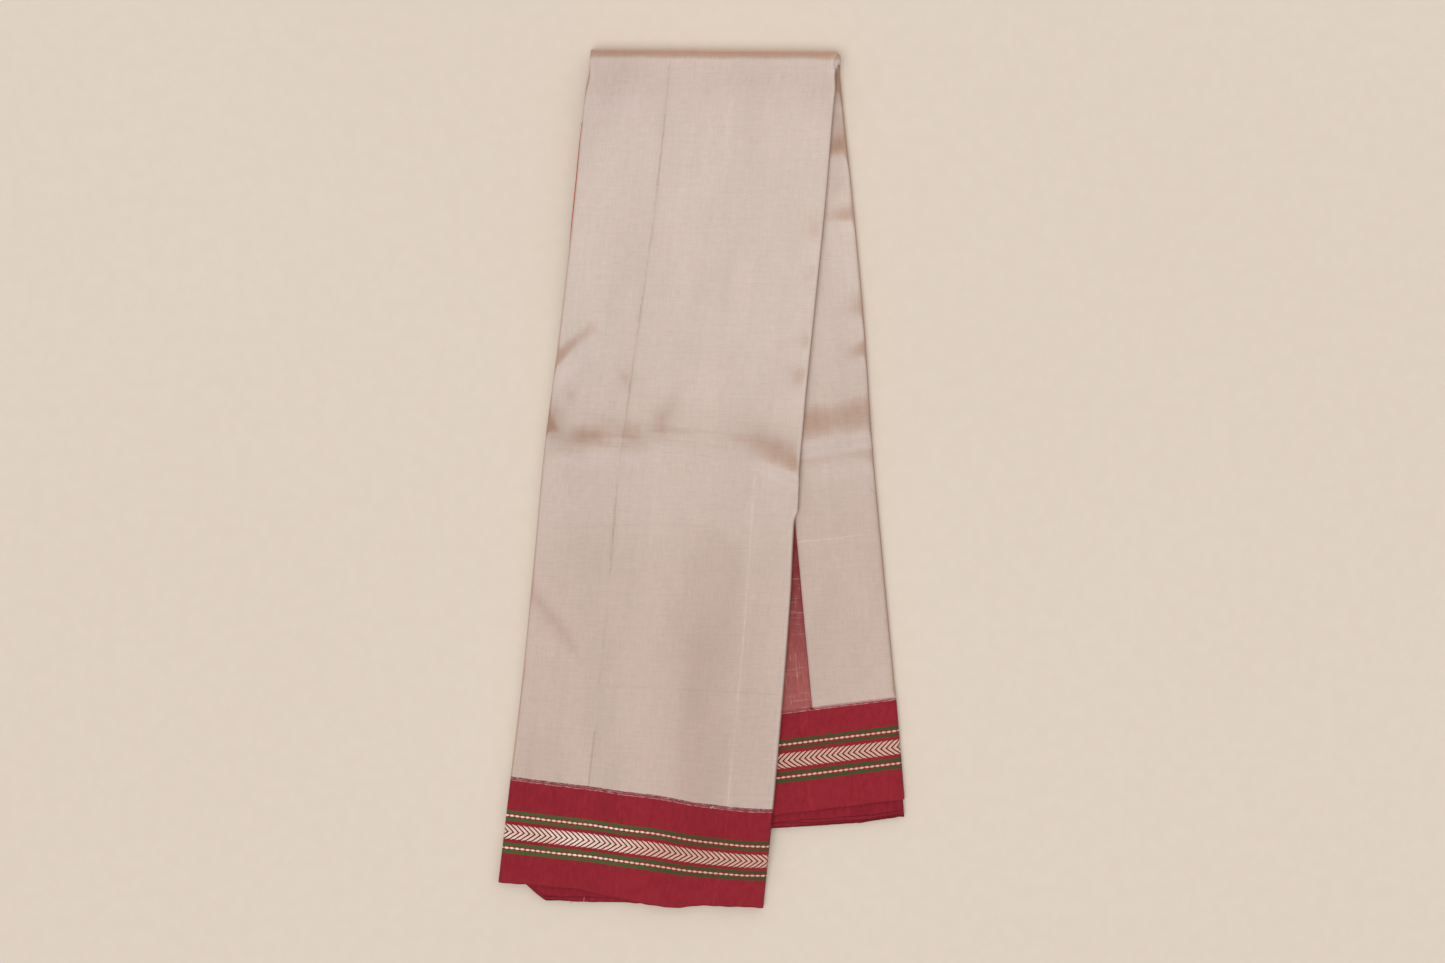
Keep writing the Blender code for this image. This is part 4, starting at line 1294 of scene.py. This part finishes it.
def border_silk(groups):
    """The border at the foot of each flap, red with its woven lines and chevrons."""
    silk = Silk("border_silk", groups, slub=0.4, strength=0.6)
    g, lower = silk.g, silk.g.mark("lower")
    across, _ = g.parts(silk.cloth)
    base = g.mix(silk.drift["Hue"], RED, RED_DEEP)
    # The inks are painted darker, as a weaker sheen, towards the right of the front border and on the lower
    # flap
    painted_sheen_dimming = g.math("MAXIMUM", g.ramp(across, 0.082, 0.130, 0.0, 0.75), lower * 0.8)
    border = silk.use("border", {"Ground": base, "Painted Sheen Dimming": painted_sheen_dimming})
    shade = silk.joined(border["Color"], (136, 52, 66), (206, 160, 154), lower)
    height = silk.weave["Height"] + border["Height"] * 1.6
    rough = g.ramp(border["Pattern"], 0.0, 1.0, 0.5, 0.42)
    return silk.finish(shade, RED_SHEEN, rough, height=height, strength=0.35)


def plain_red_silk(groups):
    """The inner layers' hems, plain red."""
    silk = Silk("red_silk", groups, slub=0.4, strength=0.6)
    base = silk.g.mix(silk.drift["Hue"], colour(142, 40, 50), colour(126, 34, 46))
    return silk.finish(base, RED_SHEEN, 0.55)


def rose_silk(groups, name="rose_silk", ink=ROSE, ink_deep=ROSE_DEEP):
    """The saree's end, where a red weft crosses the beige warp."""
    silk = Silk(name, groups, slub=0.8)
    g, cloth = silk.g, silk.cloth
    _, past_join = g.parts(cloth)
    deep = g.ramp(past_join, -0.13, -0.01, 1.0, 0.0) * 0.8 + silk.drift["Hue"] * 0.25
    pale = g.noise(cloth, (40, 700), 2.0, 0.6)
    pale = g.math("MAXIMUM", pale, g.noise(cloth, (700, 40), 2.0, 0.6))
    base = g.mix(g.ramp(pale, 0.6, 0.72, 0.0, 0.35), g.mix(deep, ink, ink_deep), BEIGE)
    shade = silk.joined(base, (134, 56, 64), (196, 140, 132), g.mark("lower"))
    return silk.finish(shade, RED_SHEEN, 0.5)


def layered_silk(groups):
    """The pressed layers: beige above the join and the border below it."""
    silk = Silk("layered_silk", groups)
    g = silk.g
    border = silk.use("border", {"Ground": RED})
    below = g.ramp(g.parts(silk.cloth)[1], -0.2 * MM, 0.2 * MM)
    base = g.mix(below, g.mix(silk.drift["Hue"], BEIGE, BEIGE_WARM), border["Color"])
    shade = silk.joined(base, (128, 74, 84), (182, 136, 132), 0.0)
    return silk.finish(shade, BROWN_SHEEN, 0.55)


def thread_silk(name, shade_a, shade_b):
    """A loose or turned silk thread, uneven in colour along its length."""
    material, g, shader = new_material(name)
    where = g.where()
    shade = g.mix(g.noise(where, 900.0, 2.0), shade_a, shade_b)
    finish_silk(g, shader, shade, g.noise(where, 4000.0, 1.0), BROWN_SHEEN, 0.55)
    return material


def attach(piece, node=None):
    """Lays a piece on the bundle, in place of its solid where it has one of its own."""
    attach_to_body(piece, "root")
    if node:
        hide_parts(node)


def build_cloth(groups):
    """Every stretch of the saree that shows, each in place of its solid."""
    beige, border = beige_silk(groups), border_silk(groups)
    red, rose, layered = plain_red_silk(groups), rose_silk(groups), layered_silk(groups)

    fold = [("fold", angle) for angle in np.linspace(-66, 88, 36)]
    rows = [("front", down) for down in even(FOLD_RADIUS, FRONT_JOIN, 2.3)]
    front_field = flap_cloth("front_field_cloth", fold + rows, beige, front_row)
    rows = [("front", down) for down in even(FRONT_JOIN, FRONT_HEM, 1.6)]
    front_border = flap_cloth("front_border_cloth", rows, border, front_row, hem=True)
    front_hem = inner_hem("front_inner_hems", "front", FRONT_HEM, FRONT_INNER_REACH, red)

    def back_cloth(name, rows, material, *edges, hem=False):
        def row_at(station, raised):
            return back_row(station, raised, *edges)

        return flap_cloth(name, rows, material, row_at, "back", hem)

    rows = [("back", down) for down in even(FOLD_RADIUS + 0.3, BACK_JOIN, 2.3)]
    back_field = back_cloth("back_field_cloth", rows, beige, field_edge)
    rows = [row for row in rows if pallu_shows(row[1])]
    back_pallu = back_cloth("back_pallu_cloth", rows, rose, tucked, pallu_edge)
    rows = [("back", down) for down in even(BACK_JOIN, BACK_HEM, 1.6)]
    back_border = back_cloth("back_border_cloth", rows, border, tucked, hem=True)
    back_hem = inner_hem("back_inner_hems", "back", BACK_HEM, BACK_INNER_REACH, red)
    layers = pressed_layers(layered)
    attach(front_field, "front_field")
    attach(front_border, "front_border")
    attach(front_hem, "front_inner_hem")
    attach(back_field, "back_field")
    attach(back_pallu, "back_pallu")
    attach(back_border, "back_border")
    attach(back_hem, "back_inner_hem")
    attach(layers, "hidden_layers")
    rose_inner = rose_silk(groups, "rose_silk_inner", INNER_ROSE, INNER_ROSE)
    turned = [build_pallu_edge(rose_inner), build_turned_corner(beige)]


# How far the inner layer of the red end reaches out at the front flap's left edge
PALLU_EDGE_REACH = (
    # down  reach
    (44, 0.25),
    (58, 0.9),
    (80, 1.15),
    (105, 1.35),
    (128, 1.2),
    (146, 0.8),
    (154, 0.25),
)


def build_pallu_edge(rose):
    """The edge of an inner layer of the red end, which shows at the front flap's left edge."""
    downs = np.linspace(PALLU_EDGE_REACH[0][0], PALLU_EDGE_REACH[-1][0], 60)
    outer, inner, cloth_at = [], [], []
    for down, wide in zip(downs, straight_rows(PALLU_EDGE_REACH, downs)):
        wide += 0.05 * math.sin(down / 9.0) * min(1, wide)
        inward = 0.5 - wide * np.array([1.0, 0.95, 0.6, 0.0])
        outer.append(place(("front", down), inward, (4.3, 4.1, 3.95, 3.85)))
        inner.append(place(("front", down), inward, (4.32, 4.5, 4.62, 4.7)))
        cloth_at.append(np.stack([inward, np.full(4, down - FRONT_JOIN)], -1))
    grids = (np.array(rows) for rows in (outer, inner, cloth_at))
    piece = cloth_wall("pallu_edge_fold", *grids, rose)
    attach(piece, "pallu_edge")
    return piece


# The pale facet at the right end of the roll, where the top cloth turns in: its left and right
# side, and how high it stands off the roll
TURNED_CORNER = (
    # left x, y     right x, y    lift left, middle, right
    (100.9, 310.9, 101.6, 310.9, 0.45, 0.5, 0.5),
    (98.5, 308.9, 102.1, 308.6, 0.5, 0.9, 0.9),
    (96.9, 305.4, 101.9, 305.4, 0.6, 1.2, 1.2),
    (97.2, 303.0, 100.4, 303.0, 0.7, 1.3, 1.3),
    (98.2, 300.2, 98.9, 300.1, 0.8, 1.1, 1.1),
)


def roll_top(x, y):
    """Height of the roll's outer cloth near its right end."""
    back, front = section("back", FOLD_RADIUS), section("front", FOLD_RADIUS)
    beyond = np.clip(y - (FOLD_LINE_Y - FOLD_RADIUS - front[2]), 0.0, FOLD_RADIUS)
    high = FOLD_RADIUS + np.sqrt(FOLD_RADIUS**2 - beyond**2)
    turned = 0.5 + np.arccos(beyond / FOLD_RADIUS) / math.pi
    edge = (back[0] + back[1]) * (1 - turned) + (front[0] + front[1]) * turned
    past = np.clip(x - edge + RIGHT_ROUND, 0.0, 0.9 * RIGHT_ROUND)
    return high - RIGHT_ROUND + np.sqrt(RIGHT_ROUND**2 - past**2)


def build_turned_corner(beige):
    """The cloth's end at the right of the top fold, turned over into a small pale facet."""
    rows = np.linspace(0, len(TURNED_CORNER) - 1, 17)
    sides = [np.interp(rows, range(len(TURNED_CORNER)), c) for c in np.transpose(TURNED_CORNER)]
    left_x, left_y, right_x, right_y, *lifts = (side[:, None] for side in sides)
    share = np.linspace(0, 1, 9)[None, :]
    x, y = left_x + (right_x - left_x) * share, left_y + (right_y - left_y) * share
    lift = lifts[0] * (1 - share) + lifts[2] * share
    lift = lift + 4 * share * (1 - share) * (lifts[1] - (lifts[0] + lifts[2]) / 2)
    outer = np.stack([x, y, roll_top(x, y) + lift], -1)
    inner = outer - np.array([0, 0, CLOTH - 0.05])
    piece = cloth_wall("turned_corner", outer, inner, outer[:, :, :2], beige, "front")
    attach(piece)
    return piece


def build_threads():
    """The stitches of the join, its knots, and a few loose ends."""
    random = np.random.default_rng(11)
    mauve = thread_silk("mauve_thread", colour(176, 112, 116), colour(212, 172, 166))
    cream = thread_silk("cream_thread", colour(228, 214, 200), colour(206, 184, 168))
    scarlet = thread_silk("scarlet_thread", colour(176, 34, 40), colour(140, 26, 40))
    front = join_stitches("front", 1.5, width_at(("front", FRONT_JOIN)) - 3, random)
    start, end = tuck_edge(BACK_JOIN) + 12, width_at(("back", BACK_JOIN)) - 3
    back = join_stitches("back", start, end, random)
    pieces = (
        threads("front_join_stitches", front, 0.11, mauve),
        threads("back_join_stitches", back, 0.10, mauve),
        threads("cream_ends", cream_ends(random), 0.11, cream),
        threads("scarlet_ends", scarlet_ends(random), 0.13, scarlet),
    )
    for piece in pieces:
        attach(piece)


def curl(flap, down, inward, reach, turns, random, lift=0.25):
    """A small snarl of thread round a point of a flap's face."""
    line = []
    for share in np.linspace(0, 1, 6 * turns):
        angle = 2 * math.pi * turns * share + random.uniform(0, 0.4)
        out = reach * (0.35 + 0.65 * share)
        rise = lift + 0.3 * math.sin(5 * share)
        line.append(
            on_face(flap, down + out * math.sin(angle), inward + 1.6 * out * math.cos(angle), rise)
        )
    return line


def cream_ends(random):
    """Pale ends of thread: a tuft in the join and one that hangs over the front hem."""
    lines = [curl("front", FRONT_JOIN + 0.6, 148, 0.7, 3, random)]
    lines.append(curl("front", FRONT_JOIN - 0.3, 149.4, 0.5, 2, random))
    width = width_at(("front", FRONT_HEM))
    hang = []
    for share in np.linspace(0, 1, 9):
        down = FRONT_HEM + 1.0 + 7.5 * share
        inward = 0.323 * width + 0.8 * math.sin(2.4 * share)
        hang.append(place(("front", down), inward, 2.0 + 0.6 * share))
    lines.append(hang)
    return lines


def scarlet_ends(random):
    """Red ends of thread, in the join and at the hems."""
    lines = [curl("front", FRONT_JOIN + 0.2, 78.0, 0.55, 2, random)]
    lines.append(curl("back", BACK_JOIN + 0.2, 124.6, 0.9, 3, random))
    lines.append(curl("back", BACK_JOIN - 0.5, 123.4, 0.6, 2, random))
    width = width_at(("front", FRONT_HEM))
    tail = []
    for share in np.linspace(0, 1, 7):
        down = FRONT_HEM + 9.2 + 2.6 * share
        tail.append(place(("front", down), 0.285 * width - 1.5 * share, 6.0 + 1.2 * share))
    lines.append(tail)
    nick = [place(("front", 54.5 + 3 * share), -0.25 - 0.3 * share, 3.2) for share in (0, 0.5, 1)]
    lines.append(nick)
    return lines


def plain_floor():
    """The pale board that the saree lies on."""
    material, g, shader = new_material("pale_board")
    where = g.where()
    cloud, grain = g.noise(where, 2.2, 3.0), g.noise(where, 90.0, 3.0, 0.6)
    shade = g.mix(cloud, colour(222, 208, 193), colour(228, 215, 200))
    shade = g.mix(g.ramp(grain, 0.3, 0.7, 0.0, 0.12), shade, colour(206, 190, 172))
    g.put(shader.inputs["Base Color"], shade)
    shader.inputs["Roughness"].default_value = 0.8
    mesh = bpy.data.meshes.new("board")
    half = 3.0
    corners = [(-half, -half, 0), (half, -half, 0), (half, half, 0), (-half, half, 0)]
    mesh.from_pydata(corners, [], [(0, 1, 2, 3)])
    mesh.materials.append(material)
    board = bpy.data.objects.new("board", mesh)
    bpy.context.scene.collection.objects.link(board)


def daylight(name, power, softness, turn, elevation, tint):
    """Even light from far away: turn is the compass way it comes from, 0 from +X."""
    light = bpy.data.lights.new(name, "SUN")
    light.energy, light.angle, light.color = power, math.radians(softness), tint
    holder = bpy.data.objects.new(name, light)
    holder.rotation_euler = (0, math.radians(90 - elevation), math.radians(turn))
    holder.location = (0, 0, 1.5)
    bpy.context.scene.collection.objects.link(holder)


def studio():
    """Soft daylight from the lower left, with an even fill, and the camera straight above."""
    daylight("window", 1.36, 40, 243, 70, (1.0, 0.985, 0.965))
    daylight("fill", 0.8, 100, 75, 55, (1.0, 0.99, 0.98))
    world = bpy.data.worlds.new("room")
    world.use_nodes = True
    background = world.node_tree.nodes["Background"]
    background.inputs["Color"].default_value = (1.0, 0.985, 0.965, 1)
    background.inputs["Strength"].default_value = 0.37
    bpy.context.scene.world = world
    bpy.context.scene.view_settings.view_transform = "Standard"

    camera = bpy.data.cameras.new("camera")
    seen_width, cloth_level, height = 1.062, 0.012, 1.8
    camera.sensor_width = 36.0
    camera.lens = camera.sensor_width * (height - cloth_level) / seen_width
    holder = bpy.data.objects.new("camera", camera)
    holder.location = (0.0154, -0.002, height)
    bpy.context.scene.collection.objects.link(holder)
    bpy.context.scene.camera = holder


def main():
    groups = {
        "weave": silk_weave_group(),
        "drift": drift_and_painted_shade_group(),
        "border": woven_border_group(),
        "join": locked_join_group(),
    }
    plain_floor()
    studio()
    build_cloth(groups)
    build_threads()


main()
